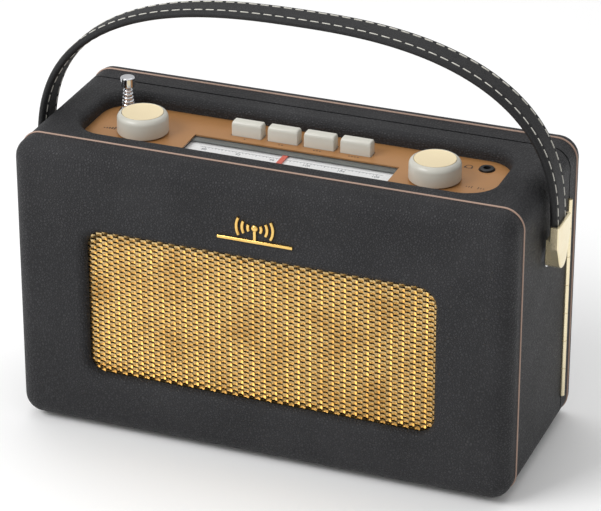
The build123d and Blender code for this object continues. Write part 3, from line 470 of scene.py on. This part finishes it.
def round_over(radius, steps, into_hole=False):
    """Carries the selected face round a quarter circle: forwards then inwards, or inwards then back."""
    for step in range(steps):
        start, end = pi / 2 * step / steps, pi / 2 * (step + 1) / steps
        shallow, steep = radius * (cos(start) - cos(end)), radius * (sin(end) - sin(start))
        if into_hole:
            bpy.ops.mesh.inset(thickness=steep, depth=-shallow)
        else:
            bpy.ops.mesh.inset(thickness=shallow, depth=steep)


def open_end():
    """Deletes the selected face and keeps its edge."""
    bpy.ops.mesh.delete(type="ONLY_FACE")


def bridge_at(depth):
    """Joins the two open edge loops that lie at one depth."""
    pick("EDGE", lambda middle, edge: edge.is_boundary and abs(middle.y - depth) < TOUCH)
    bpy.ops.mesh.bridge_edge_loops()


def join(pieces):
    """Joins pieces into the first."""
    begin()
    for piece in pieces:
        piece.select_set(True)
    bpy.context.view_layer.objects.active = pieces[0]
    bpy.ops.object.join()
    return bpy.context.object


def turned(centre, profile):
    """A round piece on an upright axis: a disc drawn through each (radius, height) in turn."""
    begin()
    radius, height = profile[0]
    bpy.ops.mesh.primitive_circle_add(
        vertices=96, radius=radius, fill_type="NGON", location=(centre.x, centre.y, height)
    )
    fix_place()
    bpy.ops.object.mode_set(mode="EDIT")
    bpy.ops.mesh.select_mode(type="FACE")
    bpy.ops.mesh.select_all(action="SELECT")
    for next_radius, next_height in profile[1:]:
        draw_out(0, 0, next_height - height)
        ratio = next_radius / radius
        middle = (centre.x, centre.y, next_height)
        bpy.ops.transform.resize(value=(ratio, ratio, 1), center_override=middle)
        radius, height = next_radius, next_height


def quarter(radius, height, bend, steps):
    """(radius, height) points of a shoulder that ends inwards at the top."""
    angles = [pi / 2 * step / steps for step in range(steps + 1)]
    return [(radius - bend + bend * cos(angle), height - bend + bend * sin(angle)) for angle in angles]


# ---------------------------------------------------------------- front cover
COVER_CORNER = 10 * MM
COVER_ROUNDING = 9.5 * MM
COVER_WALL = 6 * MM
FLAT_STRIP = 0.3 * MM           # flat leather between a rolled edge and the bridged face


def front_leather():
    """The leather-covered front: soft outer edge, flat face, and an opening whose edge rolls inwards."""
    width, height = cover_high.x - cover_low.x, cover_high.z - cover_low.z
    middle = (cover_low.z + cover_high.z) / 2
    back, front = cover_high.y, cover_low.y
    outside = upright_plate(width, height, (0, back, middle), COVER_CORNER)
    draw_out(0, front + COVER_ROUNDING - back, 0)
    round_over(COVER_ROUNDING, steps=10)
    bpy.ops.mesh.inset(thickness=FLAT_STRIP, depth=0)
    open_end()
    border = GRILLE_ROLL + FLAT_STRIP
    opening = upright_plate(
        grille_width + 2 * border, grille_height + 2 * border,
        (0, front, grille_middle), GRILLE_CORNER + border,
    )
    bpy.ops.mesh.inset(thickness=FLAT_STRIP, depth=0)
    round_over(GRILLE_ROLL, steps=8, into_hole=True)
    draw_out(0, grille_front - front - GRILLE_ROLL, 0)
    open_end()
    cavity = upright_plate(
        width - 2 * COVER_WALL, height - 2 * COVER_WALL, (0, back, middle), COVER_CORNER - COVER_WALL
    )
    draw_out(0, grille_front - back, 0)
    open_end()
    # the cavity is seen from within, so its faces turn round before its edges are bridged
    bpy.ops.mesh.select_all(action="SELECT")
    bpy.ops.mesh.flip_normals()
    join([outside, opening, cavity])
    bpy.ops.object.mode_set(mode="EDIT")
    # the plates that the outside and the cavity were drawn from
    pick("FACE", lambda at, face: abs(at.y - back) < TOUCH and len(face.verts) > 8)
    open_end()
    for depth in (front, grille_front, back):
        bridge_at(depth)
    piece = settle("front_leather", "cabinet", "leathercloth")
    smooth(40)
    apply_modifier("WEIGHTED_NORMAL", keep_sharp=True)
    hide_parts("front_cover")


# ---------------------------------------------------------------- grille
CELL_WIDTH = 5.8 * MM
CELL_HEIGHT = 2.8 * MM
SLIT_HALF = 1.42 * MM
SLIT_HEIGHT = 1.68 * MM
SLIT_END = 0.35                 # a slit's height near its ends, as a share of its middle's
STRAND_RELIEF = 0.42 * MM
STRAND_SHEET = 0.3 * MM
SHEET_SETBACK = 0.26 * MM


def strand_depth(x, z):
    """How far a point of the mesh stands forward: each strand leans out at its foot, above a slit."""
    def lean(above_slit):
        share = (above_slit % CELL_HEIGHT) / (CELL_HEIGHT - SLIT_HEIGHT)
        return 1 - 2 * min(share, 1.0)

    share = 0.5 + 0.5 * cos(2 * pi * (x - CELL_WIDTH / 4) / CELL_WIDTH)
    foot = CELL_HEIGHT / 4 + SLIT_HEIGHT / 2
    return STRAND_RELIEF * (share * lean(z - foot) + (1 - share) * lean(z - foot - CELL_HEIGHT / 2))


def cell_sheet():
    """One cell of the mesh: a sheet with a low slit in its left half and a high one in its right."""
    half, slit_x = CELL_WIDTH / 2, CELL_WIDTH / 4
    low, high = CELL_HEIGHT / 4, 3 * CELL_HEIGHT / 4
    across = (0, slit_x - SLIT_HALF, slit_x, slit_x + SLIT_HALF)
    columns = [side * half + x for side in (0, 1) for x in across] + [CELL_WIDTH]
    rows = [0, low - SLIT_HEIGHT / 2, low + SLIT_HEIGHT / 2, CELL_HEIGHT / 2]
    rows += [high - SLIT_HEIGHT / 2, high + SLIT_HEIGHT / 2, CELL_HEIGHT]
    last_column, last_row = len(columns) - 1, len(rows) - 1
    begin()
    bpy.ops.mesh.primitive_grid_add(x_subdivisions=last_column, y_subdivisions=last_row, size=1)
    bpy.ops.object.mode_set(mode="EDIT")
    mesh = bmesh.from_edit_mesh(bpy.context.object.data)
    for vertex in mesh.verts:
        x = columns[round((vertex.co.x + 0.5) * last_column)]
        z = rows[round((vertex.co.y + 0.5) * last_row)]
        # a hair above the row, so that a slit's upper edge counts as the foot of its strand
        vertex.co = (x, -strand_depth(x, z + 0.1 * TOUCH), z)
        own = low if x < half else high
        at_slit_edge = abs(abs(z - own) - SLIT_HEIGHT / 2) < TOUCH
        if at_slit_edge and 0.5 * SLIT_HALF < abs(x % half - slit_x) < 1.2 * SLIT_HALF:
            vertex.co.z = own + (z - own) * SLIT_END
    bmesh.update_edit_mesh(bpy.context.object.data)
    pick("FACE", lambda at, face: (
        abs(at.x % half - slit_x) < SLIT_HALF
        and abs(at.z - (low if at.x < half else high)) < SLIT_HEIGHT / 4
    ))
    bpy.ops.mesh.delete(type="FACE")
    bpy.ops.object.mode_set(mode="OBJECT")


def expanded_mesh():
    """Expanded metal: one cell with its two slits, repeated over the opening."""
    cell_sheet()
    across, up = int(grille_width / CELL_WIDTH) + 1, int(grille_height / CELL_HEIGHT) + 1
    for count, step in ((across, (CELL_WIDTH, 0, 0)), (up, (0, 0, CELL_HEIGHT))):
        apply_modifier(
            "ARRAY", count=count, use_relative_offset=False, use_constant_offset=True,
            constant_offset_displace=step, use_merge_vertices=True, merge_threshold=10 * TOUCH,
        )
    apply_modifier("SOLIDIFY", thickness=STRAND_SHEET, offset=0.0)
    bpy.context.object.location = (
        -across * CELL_WIDTH / 2, grille_front + SHEET_SETBACK, grille_middle - up * CELL_HEIGHT / 2
    )
    piece = settle("grille_expanded_metal", "cabinet", "gold_mesh")
    smooth(50)
    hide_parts("grille_mesh")


# ---------------------------------------------------------------- carrying strap
STRAP_FULLNESS = 2.55           # 2 would be an ellipse, and more is squarer
STRAP_THICKNESS = 4.3 * MM
STRAP_RINGS = 130
STRAP_SIDES = 56
HANDLE_RISE = 87 * MM
TURN_SIGN = -1                  # with no window, transform.rotate turns the other way
SEWING_DEPTH = 0.42 * MM        # how far the thread pulls the leather in, and half how wide
SEWING_SPREAD = 0.65 * MM
MIDDLE_SUNK = 0.22 * MM
STITCH_FROM_MIDDLE = 5.5 * MM
STITCH_PITCH = 5.8 * MM
STITCH_LENGTH = 3.5 * MM
STITCH_END = 0.35 * MM
THREAD_RADIUS = 0.34 * MM
THREAD_PROUD = 0.08 * MM
strap_half_width = (strap_high.y - strap_low.y) / 2
leg_x = strap_high.x - STRAP_THICKNESS / 2
leg_top = strap_high.z - STRAP_THICKNESS / 2 - HANDLE_RISE


def strap_walk(count):
    """Evenly spaced places along the strap's middle line, right leg to left: (point, direction)."""
    samples = 3000
    flat = 2 / STRAP_FULLNESS
    line = [Vector((leg_x, 0, strap_low.z))]
    for step in range(samples + 1):
        angle = pi * step / samples
        across = leg_x * abs(cos(angle)) ** flat * (1 if cos(angle) >= 0 else -1)
        line.append(Vector((across, 0, leg_top + HANDLE_RISE * abs(sin(angle)) ** flat)))
    line.append(Vector((-leg_x, 0, strap_low.z)))
    lengths = [0.0]
    for start, end in zip(line, line[1:]):
        lengths.append(lengths[-1] + (end - start).length)
    places, index = [], 0
    for step in range(count):
        wanted = lengths[-1] * step / (count - 1)
        while index < len(lengths) - 2 and lengths[index + 1] < wanted:
            index += 1
        share = (wanted - lengths[index]) / (lengths[index + 1] - lengths[index])
        places.append(line[index].lerp(line[index + 1], share))
    walk = []
    for step, place in enumerate(places):
        ahead = places[min(step + 1, count - 1)] - places[max(step - 1, 0)]
        walk.append((place, ahead.normalized()))
    return walk, lengths[-1]


def strap_half_thickness(across):
    """Half the strap's thickness at a distance from its middle: rolled edges, sunk sewing lines."""
    share = min(abs(across) / strap_half_width, 1.0)
    roll = (1 - share ** 5) ** 0.5
    sewing = SEWING_DEPTH * exp(-(((abs(across) - STITCH_FROM_MIDDLE) / SEWING_SPREAD) ** 2))
    sunk = MIDDLE_SUNK if abs(across) < STITCH_FROM_MIDDLE else 0
    return STRAP_THICKNESS / 2 * roll - sewing - sunk


def padded_strap():
    """The padded leather strap: its section is drawn along the arch, turning as it goes."""
    walk, _ = strap_walk(STRAP_RINGS)
    begin()
    bpy.ops.mesh.primitive_circle_add(vertices=STRAP_SIDES, radius=1, fill_type="NGON")
    bpy.ops.object.mode_set(mode="EDIT")
    mesh = bmesh.from_edit_mesh(bpy.context.object.data)
    for vertex in mesh.verts:
        across = vertex.co.y * strap_half_width
        outwards = strap_half_thickness(across) * (1 if vertex.co.x > 0 else -1)
        # the two points at the strap's edges stay on its middle surface
        vertex.co = (outwards if abs(vertex.co.x) > 1e-4 else 0, across, 0)
    bmesh.update_edit_mesh(bpy.context.object.data)
    bpy.ops.mesh.select_all(action="SELECT")
    bpy.ops.transform.translate(value=walk[0][0])
    for (place, heading), (next_place, next_heading) in zip(walk, walk[1:]):
        draw_out(*(next_place - place))
        turn = heading.xz.angle_signed(next_heading.xz)
        bpy.ops.transform.rotate(value=TURN_SIGN * turn, orient_axis="Y", center_override=next_place)
    piece = settle("padded_strap", "handle", "strap_leather")
    smooth(60)
    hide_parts("handle_strap")


def one_stitch():
    """A short thread whose ends dive into the leather, lying along Z."""
    begin()
    bpy.ops.mesh.primitive_cylinder_add(vertices=8, radius=THREAD_RADIUS, depth=STITCH_LENGTH)
    bpy.ops.object.mode_set(mode="EDIT")
    for end in (-1, 1):
        pick("FACE", lambda at, face: face.normal.z * end > 0.9)
        draw_out(0, 0, end * STITCH_END)
        bpy.ops.transform.resize(value=(0.45, 0.45, 1), center_override=(0, 0, 0))
    bpy.ops.object.mode_set(mode="OBJECT")
    return bpy.context.object


def strap_stitches():
    """Rows of thread along both edges of the strap, on its outer and inner faces."""
    _, length = strap_walk(2)
    walk, _ = strap_walk(2 * int(length / STITCH_PITCH) + 1)
    model = one_stitch()
    height = strap_half_thickness(STITCH_FROM_MIDDLE) + THREAD_PROUD
    copies = []
    # every other place is a gap, and the brackets hide the first and last places
    for place, heading in walk[3:-3:2]:
        outwards = Vector((heading.z, 0, -heading.x))
        axes = Matrix((outwards, Vector((0, 1, 0)), heading)).transposed().to_4x4()
        for face in (-1, 1):
            for edge in (-1, 1):
                copy = bpy.data.objects.new("stitch", model.data.copy())
                bpy.context.scene.collection.objects.link(copy)
                spot = place + outwards * face * height + Vector((0, edge * STITCH_FROM_MIDDLE, 0))
                copy.matrix_world = Matrix.Translation(spot) @ axes
                copies.append(copy)
    bpy.data.objects.remove(model)
    join(copies)
    settle("strap_stitches", "handle", "thread_white")
    smooth(60)


# ---------------------------------------------------------------- controls
KNOB_SHOULDER = 2.9 * MM
KNOB_TAPER = 0.12 * MM
KNOB_FOOT = ((1.6, 0), (0.7, 0), (0.2, 0.3), (0, 0.9))     # mm in from the widest radius, and up
DISC_RIM = 0.35 * MM            # the groove's outer edge, past the disc's edge
DISC_GAP = 0.12 * MM
GROOVE_DEPTH = 0.35 * MM
RIM_BREAK = 0.1 * MM
BUTTON_REACH = 2.6 * MM         # how far a cap goes on below the panel
BUTTON_RISE = 1.3 * MM          # height of the sloping top
BUTTON_NARROWING = (0.955, 0.76, 1)
BUTTON_EDGE = 0.6 * MM


def knob_cap(node, body):
    """A turned knob: soft shoulder and a thin groove round its disc."""
    low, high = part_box(node)
    disc_low, disc_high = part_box(node + "_disc")
    radius = (high.x - low.x) / 2
    shoulder = radius - KNOB_TAPER
    disc_radius = (disc_high.x - disc_low.x) / 2
    rim, groove = disc_radius + DISC_RIM, disc_radius + DISC_GAP
    profile = [(radius - inwards * MM, low.z + up * MM) for inwards, up in KNOB_FOOT]
    profile.append((shoulder, high.z - KNOB_SHOULDER - 0.2 * MM))
    for wide, tall in quarter(shoulder, high.z, KNOB_SHOULDER, steps=9)[1:]:
        profile.append((max(wide, rim), tall))
    profile += [(rim - RIM_BREAK, high.z - RIM_BREAK), (groove, high.z - GROOVE_DEPTH), (groove, disc_low.z)]
    turned((low + high) / 2, profile)
    piece = settle(node + "_cap", body, "knob_plastic")
    smooth(38)
    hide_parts(node)


def push_button(number):
    """A button cap: upright sides, then sloping to a narrower ridge along its top."""
    low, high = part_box(f"button_{number}")
    middle = (low + high) / 2
    foot = panel_low.z - BUTTON_REACH
    shoulder = high.z - BUTTON_RISE
    size = (high.x - low.x, high.y - low.y, shoulder - foot)
    block(size, (middle.x, middle.y, (foot + shoulder) / 2))
    bpy.ops.object.mode_set(mode="EDIT")
    pick("FACE", lambda at, face: face.normal.z > 0.9)
    draw_out(0, 0, high.z - shoulder)
    bpy.ops.transform.resize(value=BUTTON_NARROWING, center_override=(middle.x, middle.y, high.z))
    bpy.ops.object.mode_set(mode="OBJECT")
    apply_modifier("BEVEL", width=BUTTON_EDGE, segments=4, limit_method="ANGLE", angle_limit=radians(15))
    piece = settle(f"button_cap_{number}", f"button_{number}_body", "knob_plastic")
    smooth(30)
    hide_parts(f"button_{number}")


# ---------------------------------------------------------------- emblem
WAVE_RADII = (3.4 * MM, 6.3 * MM, 9.2 * MM)
WAVE_WIRE = 0.8 * MM            # radius of the wire that the waves are made of
WAVE_SLOPE = 0.55               # rise over run of the lines where the waves end
WAVE_TOP = 5.2 * MM             # from the waves' middle to the emblem's top
WAVE_DEPTH = 0.6 * MM           # from the emblem's back to the waves' middle
MAST_BALL = 1.7 * MM
MAST_WIDTH = 1.5 * MM
MAST_DEPTH = 1.1 * MM
BAR_HEIGHT = 1.6 * MM
BAR_DEPTH = 1.3 * MM
BAR_MIDDLE = 0.9 * MM           # above the emblem's foot
EMBLEM_SUNK = 0.2 * MM          # how far its back goes into the leather


def wave_pair(radius, middle):
    """Two arcs of wire, one on each side of the mast: a ring without its top and bottom."""
    begin()
    bpy.ops.mesh.primitive_torus_add(
        major_segments=84, minor_segments=14, major_radius=radius, minor_radius=WAVE_WIRE,
        location=middle, rotation=(pi / 2, 0, 0),
    )
    fix_place()
    bpy.ops.object.mode_set(mode="EDIT")
    for lean in (-1, 1):
        bpy.ops.mesh.select_all(action="SELECT")
        bpy.ops.mesh.bisect(
            plane_co=middle, plane_no=(WAVE_SLOPE, 0, lean), clear_inner=False, clear_outer=False
        )
    pick("FACE", lambda at, face: abs(at.z - middle.z) > WAVE_SLOPE * abs(at.x))
    bpy.ops.mesh.delete(type="FACE")
    pick("EDGE", lambda at, edge: edge.is_boundary)
    bpy.ops.mesh.edge_face_add()
    return bpy.context.object


def emblem_mark():
    """A plain radio-wave mark: a mast, arcs on both sides of it, and a bar along its foot."""
    back = emblem_high.y + EMBLEM_SUNK
    bar = emblem_low.z + BAR_MIDDLE
    wave_middle = Vector((0, back - WAVE_DEPTH, emblem_high.z - WAVE_TOP))
    parts = [wave_pair(radius, wave_middle) for radius in WAVE_RADII]
    begin()
    bpy.ops.mesh.primitive_uv_sphere_add(segments=28, ring_count=16, radius=MAST_BALL, location=wave_middle)
    bpy.context.object.scale = (1, 0.6, 1)
    fix_place()
    parts.append(bpy.context.object)
    mast_size = (MAST_WIDTH, MAST_DEPTH, wave_middle.z - bar)
    mast_place = (0, back - MAST_DEPTH / 2, (wave_middle.z + bar) / 2)
    bar_size = (emblem_high.x - emblem_low.x, BAR_DEPTH, BAR_HEIGHT)
    bar_place = (0, back - BAR_DEPTH / 2, bar)
    for size, place in ((mast_size, mast_place), (bar_size, bar_place)):
        parts.append(block(size, place))
        apply_modifier("BEVEL", width=0.4 * MM, segments=4)
    join(parts)
    piece = settle("emblem_mark", "cabinet", "gilt")
    smooth(45)
    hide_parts("emblem")


# ---------------------------------------------------------------- dial and panel printing, and the painted reflection under the lens
INK = 0.03 * MM                 # ink stands this far above and below its surface
DIAL_BAND = 5.0 * MM            # band of painted reflection along the lens's rear edge, and its thickness
BAND_THICKNESS = 0.1 * MM
DIAL_MARGIN = 9 * MM
PRINT_FROM_REAR = 7.6 * MM      # from the lens's rear edge to the first line of print
FREQUENCIES = ((88, 92, 96, 100, 104, 108), (54, 60, 70, 80, 100, 120, 160))
NUMBER_SIZE = 2.7 * MM
FIRST_ROW = 3.4 * MM            # from the first line of print to the first row of numbers
ROW_PITCH = 3.6 * MM
DIVISIONS = 50
LONG_MARK = 1.5 * MM
SHORT_MARK = 0.8 * MM
MARK_WIDTH = 0.22 * MM
MARK_GAP = 0.2 * MM
LINE_WIDTH = 0.25 * MM
LINE_OVERHANG = 6 * MM
DOT_RADIUS = 0.42 * MM
DOT_SPACING = 1.5 * MM
DOTS_FROM_BUTTON = 2.4 * MM
STEPS_FROM_FRONT = 10 * MM      # from a knob's front to the marks beside it
STEP_PITCH = 1.3 * MM
VOLUME_REACH = 6.8 * MM         # from the volume knob to its furthest and shortest bar
VOLUME_SHORTEST = 0.8 * MM
VOLUME_GROWTH = 0.5 * MM
VOLUME_BAR = 0.7 * MM
TUNING_MIDDLE = 8 * MM          # from the tuning knob to the middle of its bars
TUNING_FIRST = 1.6 * MM         # from there to the first and longest bar on each side
TUNING_LONGEST = 2.2 * MM
TUNING_FALL = 0.6 * MM
TUNING_BAR = 0.35 * MM
SIGN_FROM_SOCKET = 5 * MM
SIGN_RING = (1.9 * MM, 1.45 * MM)
PAD_SIZE = (0.8 * MM, 1.5 * MM)
PAD_ASIDE = 1.7 * MM
PAD_DROP = 0.9 * MM


def ink_box(x, y, z, width, length):
    """A printed bar on a face that looks up."""
    return block((width, length, 2 * INK), (x, y, z))


def ink_number(number, x, y, z):
    """A printed number on a face that looks up."""
    begin()
    bpy.ops.object.text_add(location=(x, y, z))
    text = bpy.context.object
    text.data.body = str(number)
    text.data.size = NUMBER_SIZE
    text.data.extrude = INK
    text.data.align_x = "CENTER"
    bpy.ops.object.convert(target="MESH")
    fix_place()
    return bpy.context.object


def dial_printing():
    """Frequency numbers and division marks on the scale."""
    left, right = lens_low.x + DIAL_MARGIN, lens_high.x - DIAL_MARGIN
    rear = lens_high.y - PRINT_FROM_REAR
    marks = []
    for row, numbers in enumerate(FREQUENCIES):
        spacing = (right - left) / (len(numbers) - 1)
        y = rear - FIRST_ROW - row * ROW_PITCH
        for place, number in enumerate(numbers):
            marks.append(ink_number(number, left + place * spacing, y, scale_top))
    for place in range(DIVISIONS + 1):
        length = LONG_MARK if place % 5 == 0 else SHORT_MARK
        x = left + (right - left) * place / DIVISIONS
        marks.append(ink_box(x, rear - MARK_GAP - length / 2, scale_top, MARK_WIDTH, length))
    marks.append(ink_box((left + right) / 2, rear, scale_top, right - left + LINE_OVERHANG, LINE_WIDTH))
    join(marks)
    settle("dial_printing", "cabinet", "dial_ink")


def dial_rear_band():
    """A grey band on the underside of the lens, along its rear edge: a painted reflection of the buttons in
    the lens.
    """
    place = (0, lens_high.y - DIAL_BAND / 2, lens_low.z - BAND_THICKNESS / 2)
    block((lens_high.x - lens_low.x, DIAL_BAND, BAND_THICKNESS), place)
    settle("dial_rear_band", "cabinet", "dial_grey")


def ink_dot(x, y):
    """A printed dot on the panel."""
    begin()
    bpy.ops.mesh.primitive_cylinder_add(
        vertices=24, radius=DOT_RADIUS, depth=2 * INK, location=(x, y, panel_high.z)
    )
    fix_place()
    return bpy.context.object


def ink_ring(x, y, radius, hole):
    """A printed ring on the panel."""
    begin()
    bpy.ops.mesh.primitive_torus_add(
        major_segments=40, minor_segments=6, major_radius=(radius + hole) / 2,
        minor_radius=(radius - hole) / 2, location=(x, y, panel_high.z),
    )
    bpy.context.object.scale = (1, 1, 0.1)
    fix_place()
    return bpy.context.object


def button_dots():
    """One to four dots in front of the buttons."""
    dots = []
    for number in range(1, 5):
        low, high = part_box(f"button_{number}")
        first = (low.x + high.x) / 2 - (number - 1) / 2 * DOT_SPACING
        y = low.y - DOTS_FROM_BUTTON
        dots += [ink_dot(first + dot * DOT_SPACING, y) for dot in range(number)]
    return dots


def volume_steps():
    """Five bars beside the volume knob, longer towards it."""
    low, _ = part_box("volume_knob")
    bars = []
    for step in range(5):
        x = low.x - VOLUME_REACH + step * STEP_PITCH
        length = VOLUME_SHORTEST + step * VOLUME_GROWTH
        y = low.y + STEPS_FROM_FRONT + length / 2
        bars.append(ink_box(x, y, panel_high.z, VOLUME_BAR, length))
    return bars


def tuning_steps():
    """Bars beside the tuning knob, shorter to the left and to the right of their middle."""
    low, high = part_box("tuning_knob")
    bars = []
    for side in (-1, 1):
        for step in range(3):
            x = high.x + TUNING_MIDDLE + side * (TUNING_FIRST + step * STEP_PITCH)
            length = TUNING_LONGEST - step * TUNING_FALL
            bars.append(ink_box(x, low.y + STEPS_FROM_FRONT, panel_high.z, TUNING_BAR, length))
    return bars


def headphone_sign():
    """A band and two pads, beside the socket."""
    x, y = socket_low.x - SIGN_FROM_SOCKET, (socket_low.y + socket_high.y) / 2
    sign = [ink_ring(x, y, *SIGN_RING)]
    for side in (-1, 1):
        sign.append(ink_box(x + side * PAD_ASIDE, y - PAD_DROP, panel_high.z, *PAD_SIZE))
    return sign


def panel_printing():
    """Plain marks in place of words: dots, steps and a headphone sign."""
    join(button_dots() + volume_steps() + tuning_steps() + headphone_sign())
    settle("panel_printing", "cabinet", "panel_ink")


# ---------------------------------------------------------------- stage
def add_light(name, place, size, power):
    """A soft rectangular light that looks at the radio."""
    light = bpy.data.lights.new(name, "AREA")
    light.shape = "RECTANGLE"
    light.size, light.size_y = size
    light.energy = power
    lamp = bpy.data.objects.new(name, light)
    lamp.location = place
    lamp.rotation_euler = (TARGET - lamp.location).to_track_quat("-Z", "Y").to_euler()
    bpy.context.scene.collection.objects.link(lamp)


def add_stage():
    """A pale floor, a white surround and soft studio lights."""
    begin()
    bpy.ops.mesh.primitive_plane_add(size=8)
    floor = bpy.context.object
    floor.name = "floor"
    ground = Surface("floor", {"Roughness": 0.6, "Specular IOR Level": 0.2})
    ground.shade(colour=ground.tint(ground.noise(4.0), colour(246, 246, 246), colour(250, 250, 250)))
    floor.data.materials.append(ground.material)
    world = bpy.data.worlds.new("surround")
    world.use_nodes = True
    background = world.node_tree.nodes["Background"]
    background.inputs["Color"].default_value = (1, 1, 1, 1)
    background.inputs["Strength"].default_value = 0.6
    bpy.context.scene.world = world
    bpy.context.scene.view_settings.view_transform = "Standard"
    add_light("key", place=(-1.0, -1.1, 1.4), size=(1.1, 0.8), power=24)
    add_light("front_fill", place=(0.3, -2.0, 0.7), size=(1.2, 0.8), power=2)
    add_light("top", place=(-0.1, 0.5, 1.6), size=(1.6, 0.9), power=8)


# ---------------------------------------------------------------- the radio
add_camera()
add_stage()
paint_frame()
front_leather()
expanded_mesh()
padded_strap()
strap_stitches()
knob_cap("volume_knob", "volume_control_knob")
knob_cap("tuning_knob", "tuning_control_knob")
for number in range(1, 5):
    push_button(number)
emblem_mark()
dial_printing()
dial_rear_band()
panel_printing()
begin()
